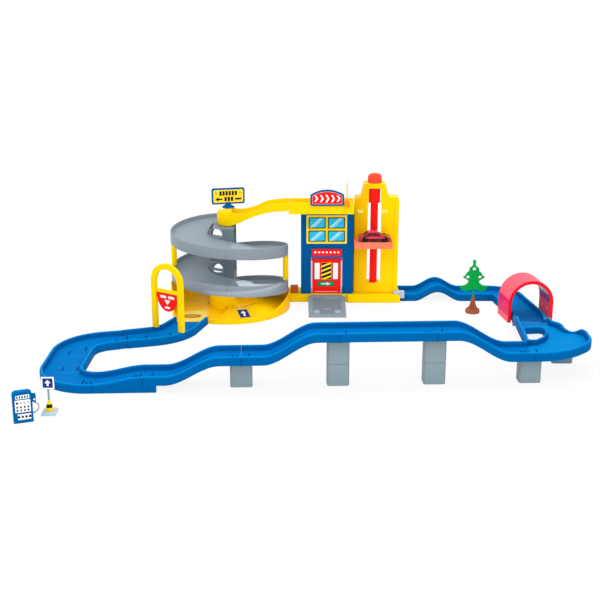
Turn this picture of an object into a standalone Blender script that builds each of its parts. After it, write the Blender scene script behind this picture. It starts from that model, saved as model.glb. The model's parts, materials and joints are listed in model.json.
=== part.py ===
"""Toy parking garage with a screw lift, a two-turn spiral ramp and a ring of plug-together roads.

Metres, +Z up. The origin is on the ground, on the axis of the lift's spindle. +X runs to the right
along the front of the garage, and +Y runs away from the viewer.
"""
import math

import bmesh
import bpy
from mathutils import Matrix, Vector

# General clearances
GAP = 0.0003
OVERRUN = 0.002
PLASTIC_WALL = 0.003

# Garage base under the lift tower and the building
BASE_HEIGHT = 0.023
BASE_FRONT = 0.026
BASE_BACK = 0.036
BASE_RIGHT = 0.069
BASE_BLOCK_LEFT = 0.068
BASE_TOWER_STEP = 0.007
BASE_BEVEL = 0.0025
BASE_TUCK = 0.010
BEARING_BOSS_RADIUS = 0.016
STOP_WIDTH = 0.020
STOP_DEPTH = 0.016
STOP_HEIGHT = 0.019
STOP_INSET = 0.0035

# Lift tower, an open-backed shell with a tall slot
TOWER_LEFT = 0.051
TOWER_RIGHT = 0.062
TOWER_FRONT = 0.016
TOWER_BACK = 0.024
SHOULDER_HEIGHT = 0.274
CROWN_RISE = 0.036
CROWN_HALF_FOOT = 0.035
CROWN_HALF_TOP = 0.027
TOWER_CORNER = 0.007
SLOT_HALF = 0.0172
SLOT_FOOT = 0.049
SLOT_NECK_LENGTH = 0.038
SLOT_HEADROOM = 0.013
SLOT_NECK_HALF = 0.0152
SLOT_CORNER = 0.004
BEARING_LIP = 0.001
FLANGE_WIDTH = 0.011
FLANGE_PROUD = 0.0015

# Lift spindle, knob and platform
SPINDLE_RADIUS = 0.0098
SPINDLE_PITCH = 0.110
SPINDLE_PLAY = 0.0006
GROOVE_DEPTH = 0.0018
GROOVE_WIDTH = 0.0052
GROOVE_STEPS_PER_TURN = 12
COLLAR_RADIUS = 0.0146
NECK_RADIUS = 0.0065
NECK_CLEARANCE = 0.0006
PIVOT_RADIUS = 0.004
PIVOT_DEPTH = 0.012
KNOB_RADIUS = 0.0178
KNOB_HEIGHT = 0.022
KNOB_RIBS = 12
KNOB_RIB_DEPTH = 0.0014
KNOB_RIB_SHARES = ((0.0, 0), (0.55, 0), (0.7, 1), (0.85, 1))
KNOB_ROUND = 0.003
PLATFORM_TOP = 0.1705
PLATFORM_THICKNESS = 0.0155
PLATFORM_LEFT = 0.0525
PLATFORM_RIGHT = 0.043
PLATFORM_DEPTH = 0.056
PLATFORM_LIP = 0.0015
RUNNING_GAP = 0.0015
CARRIAGE_RING = 0.0155
CARRIAGE_SIDE_GAP = 0.0008
CARRIAGE_BORE_GAP = 0.0008
CARRIAGE_HEIGHT = 0.015
CARRIAGE_RISE = 0.0015
PEG_WIDTH = 0.0022

# Toy car on the platform
CAR_LENGTH = 0.081
CAR_WIDTH = 0.036
CAR_HEIGHT = 0.0245
CAR_REAR = 0.0415
CAR_SIDE_INSET = 0.0035
CAR_CLEARANCE = 0.0042
CAR_EDGE = 0.0016
WHEEL_RADIUS = 0.0076
WHEEL_WIDTH = 0.0068
WHEEL_PLAY = 0.001
AXLE_RADIUS = 0.0015
AXLE_PLAY = 0.0005
REAR_AXLE_SHARE = 0.20
FRONT_AXLE_SHARE = 0.80
CAR_SIDE_SHARES = ((0.0, 0.0), (1.0, 0.0), (1.0, 0.27), (0.965, 0.42), (0.72, 0.53), (0.14, 0.57),
                   (0.02, 0.50), (0.0, 0.38))
CABIN_FOOT_SHARE = 0.50
CABIN_BASE_SHARES = (0.13, 0.74)
CABIN_ROOF_SHARES = (0.30, 0.56)
CABIN_BASE_INSET = 0.002
CABIN_ROOF_INSET = 0.0062

# Building: two blue shells with a doorway
BUILDING_GAP = 0.003
BUILDING_WIDTH = 0.133
BUILDING_TOP = 0.2447
BUILDING_SEAM = 0.005
DOOR_WIDTH = 0.080
DOOR_HEIGHT = 0.096
DOOR_LEFT_MARGIN = 0.026
DOOR_THICKNESS = 0.0025
DOOR_INSET = 0.0008
DOOR_PIN_RADIUS = 0.0014
DOOR_PIN_REACH = 0.003
DOOR_BARREL_RADIUS = 0.0024
DOOR_HEADROOM = 0.005
DOOR_SIDE_GAP = 0.001
DOOR_FOOT_GAP = 0.0009
DOOR_BOSS_LENGTH = 0.005
DOOR_BOSS_HEIGHT = 0.010
DOOR_BOSS_DEPTH = 0.007
RECESS_WIDTH = 0.013
RECESS_DEPTH = 0.0012
BACK_DOOR_WIDTH = 0.084
BACK_DOOR_HEIGHT = 0.080
WINDOW_PANEL_WIDTH = 0.103
WINDOW_PANEL_HEIGHT = 0.074
WINDOW_PANEL_FOOT = 0.157
WINDOW_PANEL_LEFT = 0.014
WINDOW_PANEL_THICKNESS = 0.0018
WINDOW_FRAME = 0.005
PANE_DEPTH = 0.0008
AWNING_WIDTH = 0.079
AWNING_HEIGHT = 0.019
AWNING_FOOT = 0.125
AWNING_THICKNESS = 0.004
AWNING_TEETH = 9
AWNING_TOOTH = 0.008

# Exit ramp clipped to the base in front of the door
EXIT_RAMP_WIDTH = 0.094
EXIT_RAMP_BACK = 0.043
EXIT_RAMP_LENGTH = 0.111
EXIT_RAMP_HIGH = 0.022
EXIT_RAMP_LOW = 0.002
EXIT_RAMP_RIM = 0.011
EXIT_RAMP_DISH = 0.0012
EXIT_RAMP_END = 0.016
EXIT_CLIP_FOOT = 0.010
BUMP_WIDTH = 0.014
BUMP_LENGTH = 0.018

# Roof deck and the chute that leads to the spiral
DECK_FOOT = 0.245
DECK_FLOOR = 0.256
DECK_WALL_TOP = 0.274
DECK_WIDTH = 0.057
DECK_BACK = 0.019
DECK_LENGTH = 0.1635
DECK_PLATFORM_GAP = 0.002
BOWL_FOOT = 0.215
BOWL_RIM = 0.250
CHUTE_FOOT_SHARES = ((0.0, 0.0), (0.18, 0.03), (0.38, 0.13), (0.54, 0.32), (0.71, 0.58), (0.79, 0.74),
                     (0.91, 0.92), (1.0, 1.0))
CHUTE_RIM_SHARES = ((0.0, 0.0), (0.18, 0.08), (0.38, 0.28), (0.54, 0.78), (0.71, 1.08), (0.79, 1.15),
                    (0.91, 1.1), (1.0, 1.0))
BOWL_WALL_START = math.radians(215)
BOWL_WALL_END = math.radians(276)
BOWL_FAR_WALL = 0.013

# Signs and the barrier
ROOF_SIGN_WIDTH = 0.084
ROOF_SIGN_HEIGHT = 0.041
ROOF_SIGN_RISE = 0.013
ROOF_SIGN_FOOT = 0.267
ROOF_SIGN_LEFT = 0.1095
ROOF_SIGN_THICKNESS = 0.004
SIGN_CORNER = 0.005
EXIT_SIGN_WIDTH = 0.084
EXIT_SIGN_HEIGHT = 0.041
EXIT_SIGN_LIFT = 0.008
EXIT_SIGN_THICKNESS = 0.004
EXIT_SIGN_TURN = math.radians(12)
EXIT_SIGN_OFFSET = 0.004
EXIT_SIGN_BACK = 0.002
EXIT_BOSS_RADIUS = 0.009
EXIT_BOSS_HEIGHT = 0.012
EXIT_PIN_RADIUS = 0.003
EXIT_PIN_LENGTH = 0.007
EXIT_NECK_RADIUS = 0.0065
EXIT_FLARE_RADIUS = 0.017
EXIT_FLARE_HEIGHT = 0.007
BARRIER_LENGTH = 0.044
BARRIER_RADIUS = 0.0016
BARRIER_HUB_RADIUS = 0.0032
BARRIER_PIN_RADIUS = 0.0011
BARRIER_RISE = 0.007
BARRIER_INSET = 0.0185
BARRIER_PLAY = 0.0004
BRACKET_WIDTH = 0.011
BRACKET_HEIGHT = 0.020
BRACKET_DEPTH = 0.009
BRACKET_CHEEK = 0.0032
BRACKET_ABOVE_PIVOT = 0.004

# Spiral ramp
SPIRAL_CLEAR = 0.028
SPIRAL_Y = -0.056
RAMP_SETBACK = 0.004
RAMP_WALL = 0.004
RAMP_SKIRT = 0.028
RAMP_RIM = 0.012
RAMP_FLOOR = 0.003
RAMP_INNER_RIM = 0.005
RAMP_PITCH = 0.094
RAMP_SWING = 0.009
RAMP_SWING_ANGLE = math.radians(25)
RAMP_LEFT_RIM_HEIGHT = 0.203
RAMP_EASE_SHARE = 0.6
RAMP_START = math.radians(96)
RAMP_SEAMS = (math.radians(270), math.radians(450), math.radians(630))
RAMP_END = math.radians(814)
RAMP_STEP = math.radians(10)
COLUMN_RADIUS = 0.055
COLUMN_OPEN_HALF = math.radians(75)
COLUMN_FOOT_TOP = 0.052
COLUMN_SPLIT = 0.145
COLUMN_SHOULDER = 0.026
LOWER_SHOULDER_TOP = 0.131
WINDOW_ANGLES = (math.radians(236), math.radians(128))
UPPER_WINDOW_FEET = (0.190, 0.172)
LOWER_WINDOW_FEET = (0.102, 0.076)
WINDOW_WIDTH = 0.034
WINDOW_HEIGHT = 0.024
WINDOW_CORNER = 0.012
POST_RADIUS = 0.007

# Spiral base, a round tray with a spout
TRAY_RADIUS = 0.152
TRAY_WALL = 0.0035
TRAY_FLOOR = 0.004
TRAY_FOOT_LIFT = 0.0005
TRAY_LOW_RIM = 0.012
TRAY_HIGH_RIM = 0.042
TRAY_BACK_RIM = 0.034
TRAY_LEFT_RIM = 0.064
TRAY_RISE_START = math.radians(300)
SPOUT_SIDE = 0.021
SPOUT_WIDTH = 0.084
SPOUT_SHORT = 0.005
SPOUT_FIN = 0.058
LANE_START = math.radians(95.5)
LANE_END = math.radians(186)
LANE_HIGH = 0.0194
LANE_LOW = 0.0046

# Roads
ROAD_WIDTH = 0.080
ROAD_WALL = 0.008
ROAD_SKIRT = 0.006
ROAD_HEIGHT = 0.019
ROAD_FLOOR = 0.006
ROAD_SHEET = 0.003
ROAD_ROUND = 0.003
STRAIGHT_LENGTH = 0.204
STRAIGHT_STEPS = 12
RISER_LENGTH = 0.105
RISER_HEIGHT = 0.015
RISER_APRON = 0.027
LEVEL_ONE = 0.0563
LEVEL_TWO = 0.1048
FLAT_END_SHARE = 0.22
FRONT_ROAD_X = -0.622
FRONT_ROAD_Y = -0.6135
FRONT_ROAD_TURN = math.radians(2.35)
CURVE_WIDTH = 0.096
GATE_ROAD_FILLET = 0.090
GATE_ROAD_BULGE = 0.004
GATE_ROAD_SHARES = ((0.0, 0.0), (-0.45, -1.29), (-1.7625, -1.7))
LEFT_CURVE_FILLETS = (0.085, 0.075)
LEFT_CURVE_SHARES = ((-1.2875, -0.4), (-1.05, 0.0))
HUMP_ROAD_LENGTH = 0.2335
HUMP_ROAD_Y = 0.023
HUMP_CENTRE_SHARE = 0.42
HUMP_HALF_LENGTH = 0.061
HUMP_RISE = 0.024
TUNNEL_ROAD_REACH = 0.041
TUNNEL_ROAD_BEND = (0.0335, 0.221)
TUNNEL_ROAD_FILLETS = (0.15, 0.044)
TUNNEL_ROAD_SLOPE = 0.196
TURNOUT_DEPTH = 0.180
TURNOUT_OFFSET = 0.0425
TURNOUT_SIDE_SHARES = ((0.88, -0.46), (1.82, 0.48), (1.82, 1.52), (1.30, 1.66), (1.25, 1.98))
TURNOUT_FILLETS = (0.0, 0.145, 0.085, 0.030, 0.012, 0.014, 0.0, 0.0, 0.0)
ISLAND_SHARES = ((0.0, 0.54), (0.30, 0.55), (0.57, 0.84), (0.725, 1.17), (0.71, 1.64), (0.53, 1.70),
                 (0.08, 1.64))
ISLAND_CORNER = 0.011
NOTCH_WIDTH = 0.026
NOTCH_SHARE = 0.35
NOTCH_FLOOR = 0.010
CLIP_LENGTH = 0.028
CLIP_WIDTH = 0.014
CLIP_HEIGHT = 0.007
CLIP_OVERLAP = 0.011
CLIP_DROP = 0.011

# Pillars
PILLAR_LENGTH = 0.047
PILLAR_DEPTH = 0.036
PILLAR_BODY = 0.0482
PILLAR_INSET = 0.004
PILLAR_CORNER = 0.006
END_PILLAR_SHARES = (1.175, 1.46)

# Gate, tunnel and loose accessories
GATE_HALF_SPAN = 0.0385
GATE_TURN = math.radians(-32.1)
GATE_TOP = 0.180
GATE_BAR = 0.013
GATE_DEPTH = 0.009
GATE_CROSSBAR_TOP = 0.1165
GATE_CROSSBAR = 0.008
GATE_SIGN_DROP = 0.045
GATE_SIGN_THICKNESS = 0.003
TUNNEL_OUTER = 0.057
TUNNEL_WALL = 0.008
TUNNEL_LEG = 0.047
TUNNEL_DEPTH = 0.075
TUNNEL_FRONT_Y = -0.185
TUNNEL_HOLE_RADIUS = 0.005
TUNNEL_HOLE_HEIGHT = 0.030
TUNNEL_HOLE_SPACING = 0.034
TREE_X = 0.245
TREE_Y = -0.111
TREE_HEIGHT = 0.138
TREE_STEM = 0.057
TREE_WIDTH = 0.073
TREE_THICKNESS = 0.006
TREE_SHARES = ((0.06, 0.0), (0.07, 0.09), (0.16, 0.15), (0.33, 0.11), (0.46, 0.09), (0.49, 0.15),
               (0.36, 0.22), (0.22, 0.31), (0.32, 0.41), (0.39, 0.46), (0.37, 0.51), (0.25, 0.59),
               (0.17, 0.68), (0.19, 0.76), (0.17, 0.84), (0.09, 0.94), (0.0, 0.99))
TREE_HOLE_SHARES = ((0.0, 0.72), (-0.19, 0.455), (0.19, 0.455))
TREE_HOLE_RADIUS = 0.0040
TRUNK_FOOT_WIDTH = 0.036
TRUNK_FOOT_HEIGHT = 0.012
TRUNK_RADIUS = 0.0045
PUMP_X = -0.729
PUMP_Y = -0.799
PUMP_WIDTH = 0.038
PUMP_DEPTH = 0.012
PUMP_HEIGHT = 0.066
PUMP_TURN = math.radians(20)
PUMP_CORNER = 0.007
NOZZLE_WIDTH = 0.007
NOZZLE_FOOT = 0.040
NOZZLE_HEIGHT = 0.017
HOSE_RADIUS = 0.0013
HOSE_REACH = 0.010
HOSE_END = 0.017
HOSE_STEPS = 12
SIGN_X = -0.687
SIGN_Y = -0.755
SIGN_BASE_WIDTH = 0.029
SIGN_BASE_DEPTH = 0.032
SIGN_BASE_HEIGHT = 0.007
SIGN_BASE_EDGE = 0.003
SIGN_CONE_TOP = 0.028
SIGN_CONE_RADIUS = 0.0085
SIGN_POST_RADIUS = 0.002
SIGN_PLATE = 0.027
SIGN_PLATE_FOOT = 0.051
SIGN_PLATE_THICKNESS = 0.003

# Colours, and how finely round shapes are cut
YELLOW = (1.0, 0.70, 0.0)
ROAD_BLUE = (0.0, 0.19, 0.58)
HOUSE_BLUE = (0.0, 0.10, 0.38)
RAMP_GREY = (0.19, 0.26, 0.30)
RED = (0.85, 0.01, 0.01)
ORANGE_RED = (1.0, 0.16, 0.06)
PINK_RED = (0.86, 0.06, 0.12)
GREEN = (0.0, 0.32, 0.05)
BROWN = (0.34, 0.11, 0.05)
BLOCK_GREY = (0.22, 0.30, 0.33)
PALE_BLUE = (0.45, 0.55, 0.65)
DARK_RED = (0.35, 0.01, 0.01)
BLACK = (0.02, 0.02, 0.02)
GLOSS_ROUGHNESS = 0.35
TYRE_ROUGHNESS = 0.6
SIDES = 24
SMALL_SIDES = 12

# Places worked out from the sizes above
CROWN_HEIGHT = SHOULDER_HEIGHT + CROWN_RISE
SLOT_TOP = CROWN_HEIGHT - SLOT_HEADROOM
SLOT_STEP = SLOT_TOP - SLOT_NECK_LENGTH
BARRIER_PIVOT_HEIGHT = DECK_WALL_TOP + BARRIER_RISE
BUILDING_RIGHT = -TOWER_LEFT - BUILDING_GAP
BUILDING_LEFT = BUILDING_RIGHT - BUILDING_WIDTH
BUILDING_FOOT = BASE_HEIGHT + GAP
DOOR_LEFT = BUILDING_LEFT + DOOR_LEFT_MARGIN
DOOR_RIGHT = DOOR_LEFT + DOOR_WIDTH
DOOR_TOP = BUILDING_FOOT + DOOR_HEIGHT
DECK_RIGHT = -PLATFORM_LEFT - DECK_PLATFORM_GAP
DECK_LEFT = DECK_RIGHT - DECK_LENGTH
DECK_FRONT = DECK_BACK + DECK_WIDTH
CHANNEL_Y = -DECK_BACK - DECK_WIDTH / 2
PLATFORM_BACK = TOWER_FRONT + RUNNING_GAP
PLATFORM_FRONT = PLATFORM_BACK + PLATFORM_DEPTH
CARRIAGE_TOP = PLATFORM_TOP + CARRIAGE_RISE
CARRIAGE_MIDDLE = CARRIAGE_TOP - CARRIAGE_HEIGHT / 2
SPIRAL_X = BUILDING_LEFT - SPIRAL_CLEAR - TRAY_RADIUS
SPIRAL_RADIUS = TRAY_RADIUS - RAMP_SETBACK
SPOUT_LEFT = TRAY_RADIUS - SPOUT_SIDE
SPOUT_RIGHT = SPOUT_LEFT - SPOUT_WIDTH
SPOUT_END_Y = SPIRAL_Y - TRAY_RADIUS + SPOUT_SHORT
SPOUT_X = SPIRAL_X - (SPOUT_LEFT + SPOUT_RIGHT) / 2
FRONT_JOINTS = [0] + [RISER_LENGTH + k * STRAIGHT_LENGTH for k in range(5)]
HUMP_ROAD_LEFT = BASE_RIGHT + GAP
HUMP_ROAD_RIGHT = HUMP_ROAD_LEFT + HUMP_ROAD_LENGTH
PILLAR_NECK = LEVEL_ONE - PILLAR_BODY + ROAD_FLOOR - ROAD_SHEET - GAP


def clear_scene():
    """Removes every object that the scene starts with."""
    for thing in list(bpy.data.objects):
        bpy.data.objects.remove(thing, do_unlink=True)


def new_solid(name, shell):
    """An object from a closed bmesh, with its faces turned outwards."""
    bmesh.ops.recalc_face_normals(shell, faces=shell.faces)
    mesh = bpy.data.meshes.new(name)
    shell.to_mesh(mesh)
    shell.free()
    thing = bpy.data.objects.new(name, mesh)
    bpy.context.collection.objects.link(thing)
    return thing


def lofted(name, rings):
    """A closed solid through rings of matching points, with a flat cap at each end."""
    shell = bmesh.new()
    loops = [[shell.verts.new(point) for point in ring] for ring in rings]
    for lower, upper in zip(loops, loops[1:]):
        for k in range(len(lower)):
            after = (k + 1) % len(lower)
            shell.faces.new((lower[k], lower[after], upper[after], upper[k]))
    shell.faces.new(loops[0])
    shell.faces.new(loops[-1])
    return new_solid(name, shell)


def facing(axis, across, up, out):
    """A point from its place in an outline and its place along the axis that the outline faces."""
    places = {"X": (out, across, up), "Y": (across, out, up), "Z": (across, up, out)}
    return Vector(places[axis])


def prism(name, outline, low, high, axis="Z"):
    """An outline extruded along one axis."""
    return lofted(name, [[facing(axis, across, up, out) for across, up in outline] for out in (low, high)])


def rectangle(left, right, low, high):
    return [(left, low), (right, low), (right, high), (left, high)]


def block(name, left, right, front, back, foot, top):
    return prism(name, rectangle(left, right, front, back), foot, top)


def topped(name, outline, foot, top, edge):
    """An extruded outline with its upper edge cut at a slant."""
    upper = inset(outline, edge)
    steps = ((outline, foot), (outline, top - edge), (upper, top))
    return lofted(name, [[facing("Z", across, up, out) for across, up in ring] for ring, out in steps])


def turned(name, profile, centre, axis="Z", sides=SIDES):
    """A solid of revolution from pairs of radius and height. A profile clear of the axis makes a ring."""
    shell = bmesh.new()
    loops = []
    for radius, height in profile:
        count = sides if radius > 0 else 1
        angles = [2 * math.pi * k / sides for k in range(count)]
        points = [facing(axis, radius * math.cos(turn), radius * math.sin(turn), height) for turn in angles]
        loops.append([shell.verts.new(Vector(centre) + point) for point in points])
    is_ring = min(radius for radius, height in profile) > 0
    pairs = list(zip(loops, loops[1:]))
    if is_ring:
        pairs.append((loops[-1], loops[0]))
    for lower, upper in pairs:
        for k in range(sides):
            after = (k + 1) % sides
            corners = (lower[k % len(lower)], lower[after % len(lower)],
                       upper[after % len(upper)], upper[k % len(upper)])
            face = list(dict.fromkeys(corners))
            if len(face) > 2:
                shell.faces.new(face)
    return new_solid(name, shell)


def rod(name, radius, low, high, centre, axis="Z", sides=SMALL_SIDES):
    return turned(name, [(0, low), (radius, low), (radius, high), (0, high)], centre, axis, sides)


def arc(centre_x, centre_y, radius, start, end, steps):
    """Points along an arc, both ends included."""
    angles = [start + (end - start) * k / steps for k in range(steps + 1)]
    return [(centre_x + radius * math.cos(turn), centre_y + radius * math.sin(turn)) for turn in angles]


def filleted(corners, radii, steps=4, is_closed=True):
    """The corners with each one rounded to a radius, or to its own radius from a list."""
    count = len(corners)
    if not isinstance(radii, (list, tuple)):
        radii = [radii] * count
    points = []
    for k, (corner, radius) in enumerate(zip(corners, radii)):
        is_end = not is_closed and k in (0, count - 1)
        if radius <= 0 or is_end:
            points.append(tuple(corner))
            continue
        here = Vector(corner)
        before = (Vector(corners[k - 1]) - here).normalized()
        after = (Vector(corners[(k + 1) % count]) - here).normalized()
        half = before.angle(after) / 2
        centre = here + (before + after).normalized() * radius / math.sin(half)
        first = here + before * radius / math.tan(half) - centre
        last = here + after * radius / math.tan(half) - centre
        start = math.atan2(first.y, first.x)
        sweep = math.remainder(math.atan2(last.y, last.x) - start, 2 * math.pi)
        points += arc(centre.x, centre.y, radius, start, start + sweep, steps)
    return points


def inset(outline, distances):
    """The outline drawn in by one distance, or by one for each side. It runs anticlockwise."""
    count = len(outline)
    if not isinstance(distances, list):
        distances = [distances] * count
    lines = []
    for k in range(count):
        start = Vector(outline[k])
        along = (Vector(outline[(k + 1) % count]) - start).normalized()
        lines.append((start + Vector((-along.y, along.x)) * distances[k], along))
    points = []
    for k in range(count):
        before, first = lines[k - 1]
        after, second = lines[k]
        turn = first.cross(second)
        if abs(turn) < 1e-6:
            points.append(tuple(after))
        else:
            points.append(tuple(before + first * ((after - before).cross(second) / turn)))
    return points


def apply_tool(target, tool, operation):
    change = target.modifiers.new(tool.name, "BOOLEAN")
    change.operation = operation
    change.object = tool
    tool.hide_render = True
    tool.display_type = "WIRE"


def cut(target, *tools):
    for tool in tools:
        apply_tool(target, tool, "DIFFERENCE")


def join(target, *tools):
    for tool in tools:
        apply_tool(target, tool, "UNION")


def painted(thing, colour, roughness=GLOSS_ROUGHNESS):
    """Gives the object a plain plastic of its own."""
    plastic = bpy.data.materials.new(thing.name)
    plastic.use_nodes = True
    shader = plastic.node_tree.nodes["Principled BSDF"]
    shader.inputs["Base Color"].default_value = (*colour, 1)
    shader.inputs["Roughness"].default_value = roughness
    shader.inputs["Metallic"].default_value = 0
    thing.data.materials.append(plastic)
    return thing


def smooth(thing):
    thing.data.shade_smooth()
    thing.data.set_sharp_from_angle(angle=math.radians(35))
    return thing


def pivoted(thing, point):
    """Puts the object's origin on its joint, with its shape left in place."""
    thing.data.transform(Matrix.Translation(-Vector(point)))
    thing.location = point
    return thing


def turned_in_plan(thing, x, y, angle):
    """Turns a shape about an upright line."""
    line = Vector((x, y, 0))
    thing.data.transform(
        Matrix.Translation(line) @ Matrix.Rotation(angle, 4, "Z") @ Matrix.Translation(-line))
    return thing


def carried(thing, carrier):
    """Parents the object to what carries it, with both left in place."""
    thing.parent = carrier
    place = carrier.location.copy()
    above = carrier.parent
    if above:
        place = above.location + carrier.location - above.location
    thing.matrix_parent_inverse = Matrix.Translation(-place)


def eased(share):
    """A smooth step from 0 to 1."""
    held = min(max(share, 0), 1)
    return held * held * (3 - 2 * held)


def read_shares(table, share):
    """The value at a share of the way along a table of pairs, on straight lines between them."""
    for (start, low), (end, high) in zip(table, table[1:]):
        if share <= end:
            return low + (high - low) * (share - start) / (end - start)
    return table[-1][1]


def make_base():
    """The yellow base plate, hollow below, with a boss under the spindle and a stop block."""
    reach = TRAY_RADIUS + GAP
    start = math.asin((-BASE_FRONT - SPIRAL_Y) / reach)
    end = math.asin((BASE_TUCK - SPIRAL_Y) / reach)
    hug = arc(SPIRAL_X, SPIRAL_Y, reach, start, end, 4)
    outline = [(-BASE_BLOCK_LEFT, -BASE_FRONT), (-BASE_BLOCK_LEFT, -BASE_FRONT - BASE_TOWER_STEP),
               (BASE_RIGHT, -BASE_FRONT - BASE_TOWER_STEP), (BASE_RIGHT, BASE_BACK),
               (hug[-1][0], BASE_BACK)] + hug[::-1]
    base = topped("garage_base", outline, 0, BASE_HEIGHT, BASE_BEVEL)
    cavity = prism("base_cavity", inset(outline, PLASTIC_WALL), -OVERRUN, BASE_HEIGHT - PLASTIC_WALL)
    boss = rod("base_boss", BEARING_BOSS_RADIUS, 0, BASE_HEIGHT - PLASTIC_WALL / 2, (0, 0, 0), sides=SIDES)
    cut(base, cavity)
    join(base, boss)
    painted(base, YELLOW)
    stop_left = hug[0][0] + STOP_INSET
    stop = block("base_stop", stop_left, stop_left + STOP_WIDTH, -BASE_FRONT + BASE_BEVEL,
                 -BASE_FRONT + BASE_BEVEL + STOP_DEPTH, BUILDING_FOOT, BUILDING_FOOT + STOP_HEIGHT)
    painted(stop, ORANGE_RED)


def make_tower():
    """The lift tower: an open-backed shell with a stepped slot, a bearing block and a neck hole."""
    foot = BUILDING_FOOT
    corners = [(-TOWER_LEFT, foot), (TOWER_RIGHT, foot), (TOWER_RIGHT, SHOULDER_HEIGHT),
               (CROWN_HALF_FOOT, SHOULDER_HEIGHT), (CROWN_HALF_TOP, CROWN_HEIGHT),
               (-CROWN_HALF_TOP, CROWN_HEIGHT), (-CROWN_HALF_FOOT, SHOULDER_HEIGHT),
               (-TOWER_LEFT, SHOULDER_HEIGHT)]
    rounds = [0, 0, TOWER_CORNER, TOWER_CORNER / 2, TOWER_CORNER, TOWER_CORNER, TOWER_CORNER / 2,
              TOWER_CORNER]
    tower = prism("lift_tower", filleted(corners, rounds), -TOWER_FRONT, TOWER_BACK, "Y")
    walls = [-OVERRUN] + [PLASTIC_WALL] * (len(corners) - 1)
    cavity = prism("tower_cavity", inset(corners, walls), -TOWER_FRONT + PLASTIC_WALL,
                   TOWER_BACK + OVERRUN, "Y")
    bearing_top = SLOT_FOOT - BEARING_LIP
    bearing = block("tower_bearing", -SLOT_HALF, SLOT_HALF, -TOWER_FRONT + PLASTIC_WALL / 2, TOWER_BACK,
                    foot, bearing_top)
    flange = block("tower_flange", TOWER_RIGHT - FLANGE_WIDTH, TOWER_RIGHT, -TOWER_FRONT - FLANGE_PROUD,
                   -TOWER_FRONT + PLASTIC_WALL / 2, foot, SHOULDER_HEIGHT - TOWER_CORNER)
    opening = [(-SLOT_HALF, SLOT_FOOT), (SLOT_HALF, SLOT_FOOT), (SLOT_HALF, SLOT_STEP),
               (SLOT_NECK_HALF, SLOT_STEP), (SLOT_NECK_HALF, SLOT_TOP), (-SLOT_NECK_HALF, SLOT_TOP),
               (-SLOT_NECK_HALF, SLOT_STEP), (-SLOT_HALF, SLOT_STEP)]
    bends = [SLOT_CORNER, SLOT_CORNER, 0, 0, SLOT_CORNER / 2, SLOT_CORNER / 2, 0, 0]
    slot = prism("tower_slot", filleted(opening, bends), -TOWER_FRONT - OVERRUN,
                 -TOWER_FRONT + PLASTIC_WALL + OVERRUN, "Y")
    neck_hole = rod("tower_neck_hole", NECK_RADIUS + NECK_CLEARANCE, CROWN_HEIGHT - PLASTIC_WALL - OVERRUN,
                    CROWN_HEIGHT + OVERRUN, (0, 0, 0), sides=SIDES)
    pivot_hole = rod("tower_pivot_hole", PIVOT_RADIUS + SPINDLE_PLAY, bearing_top - PIVOT_DEPTH,
                     bearing_top + OVERRUN, (0, 0, 0), sides=SIDES)
    cut(tower, cavity)
    join(tower, bearing, flange)
    cut(tower, slot, neck_hole, pivot_hole)
    painted(smooth(tower), YELLOW)


def spindle_ring(radius, height, depth, turn):
    """One level of the spindle: a circle with a groove of the given depth, turned by an angle."""
    half = math.asin(GROOVE_WIDTH / 2 / SPINDLE_RADIUS)
    bottom = half * (1 - GROOVE_DEPTH / GROOVE_WIDTH)
    marks = [(-half, radius), (-bottom, radius - depth), (bottom, radius - depth), (half, radius)]
    rest = 14
    step = (2 * math.pi - 2 * half) / (rest + 1)
    marks += [(half + step * k, radius) for k in range(1, rest + 1)]
    return [Vector((reach * math.cos(turn + angle), reach * math.sin(turn + angle), height))
            for angle, reach in marks]


def make_spindle():
    """The turning spindle with its helical groove, collar, neck and pivot pin, and the knob on top."""
    pin_top = SLOT_FOOT + SPINDLE_PLAY
    pin_foot = SLOT_FOOT - BEARING_LIP - PIVOT_DEPTH + SPINDLE_PLAY
    collar_foot = SLOT_STEP + GAP
    collar_top = SLOT_TOP - SPINDLE_PLAY
    knob_foot = CROWN_HEIGHT + SPINDLE_PLAY
    neck_top = knob_foot + KNOB_HEIGHT / 2
    count = round((collar_foot - pin_top) / SPINDLE_PITCH * GROOVE_STEPS_PER_TURN)
    levels = [pin_top + (collar_foot - pin_top) * k / count for k in range(count + 1)]
    peg_turn = math.pi / 2
    turns = [peg_turn + 2 * math.pi * (level - CARRIAGE_MIDDLE) / SPINDLE_PITCH for level in levels]
    rings = [spindle_ring(PIVOT_RADIUS, pin_foot, 0, turns[0]),
             spindle_ring(PIVOT_RADIUS, pin_top, 0, turns[0])]
    rings += [spindle_ring(SPINDLE_RADIUS, level, GROOVE_DEPTH, turn) for level, turn in zip(levels, turns)]
    rings += [spindle_ring(radius, level, 0, turns[-1])
              for radius, level in ((COLLAR_RADIUS, collar_foot), (COLLAR_RADIUS, collar_top),
                                    (NECK_RADIUS, collar_top), (NECK_RADIUS, neck_top))]
    spindle = lofted("lift_spindle", rings)
    painted(smooth(spindle), RED)

    outline = []
    for k in range(KNOB_RIBS):
        for share, is_deep in KNOB_RIB_SHARES:
            turn = 2 * math.pi * (k + share) / KNOB_RIBS
            radius = KNOB_RADIUS - KNOB_RIB_DEPTH * is_deep
            outline.append((radius * math.cos(turn), radius * math.sin(turn)))
    knob_top = knob_foot + KNOB_HEIGHT
    shrunk = 1 - KNOB_ROUND / KNOB_RADIUS
    steps = ((1, knob_foot), (1, knob_top - KNOB_ROUND), (shrunk, knob_top))
    knob = lofted("lift_knob", [[Vector((x * scale, y * scale, level)) for x, y in outline]
                                for scale, level in steps])
    cut(knob, rod("knob_socket", NECK_RADIUS + GAP, knob_foot - OVERRUN, neck_top + GAP, (0, 0, 0),
                  sides=SIDES))
    painted(smooth(knob), RED)


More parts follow.
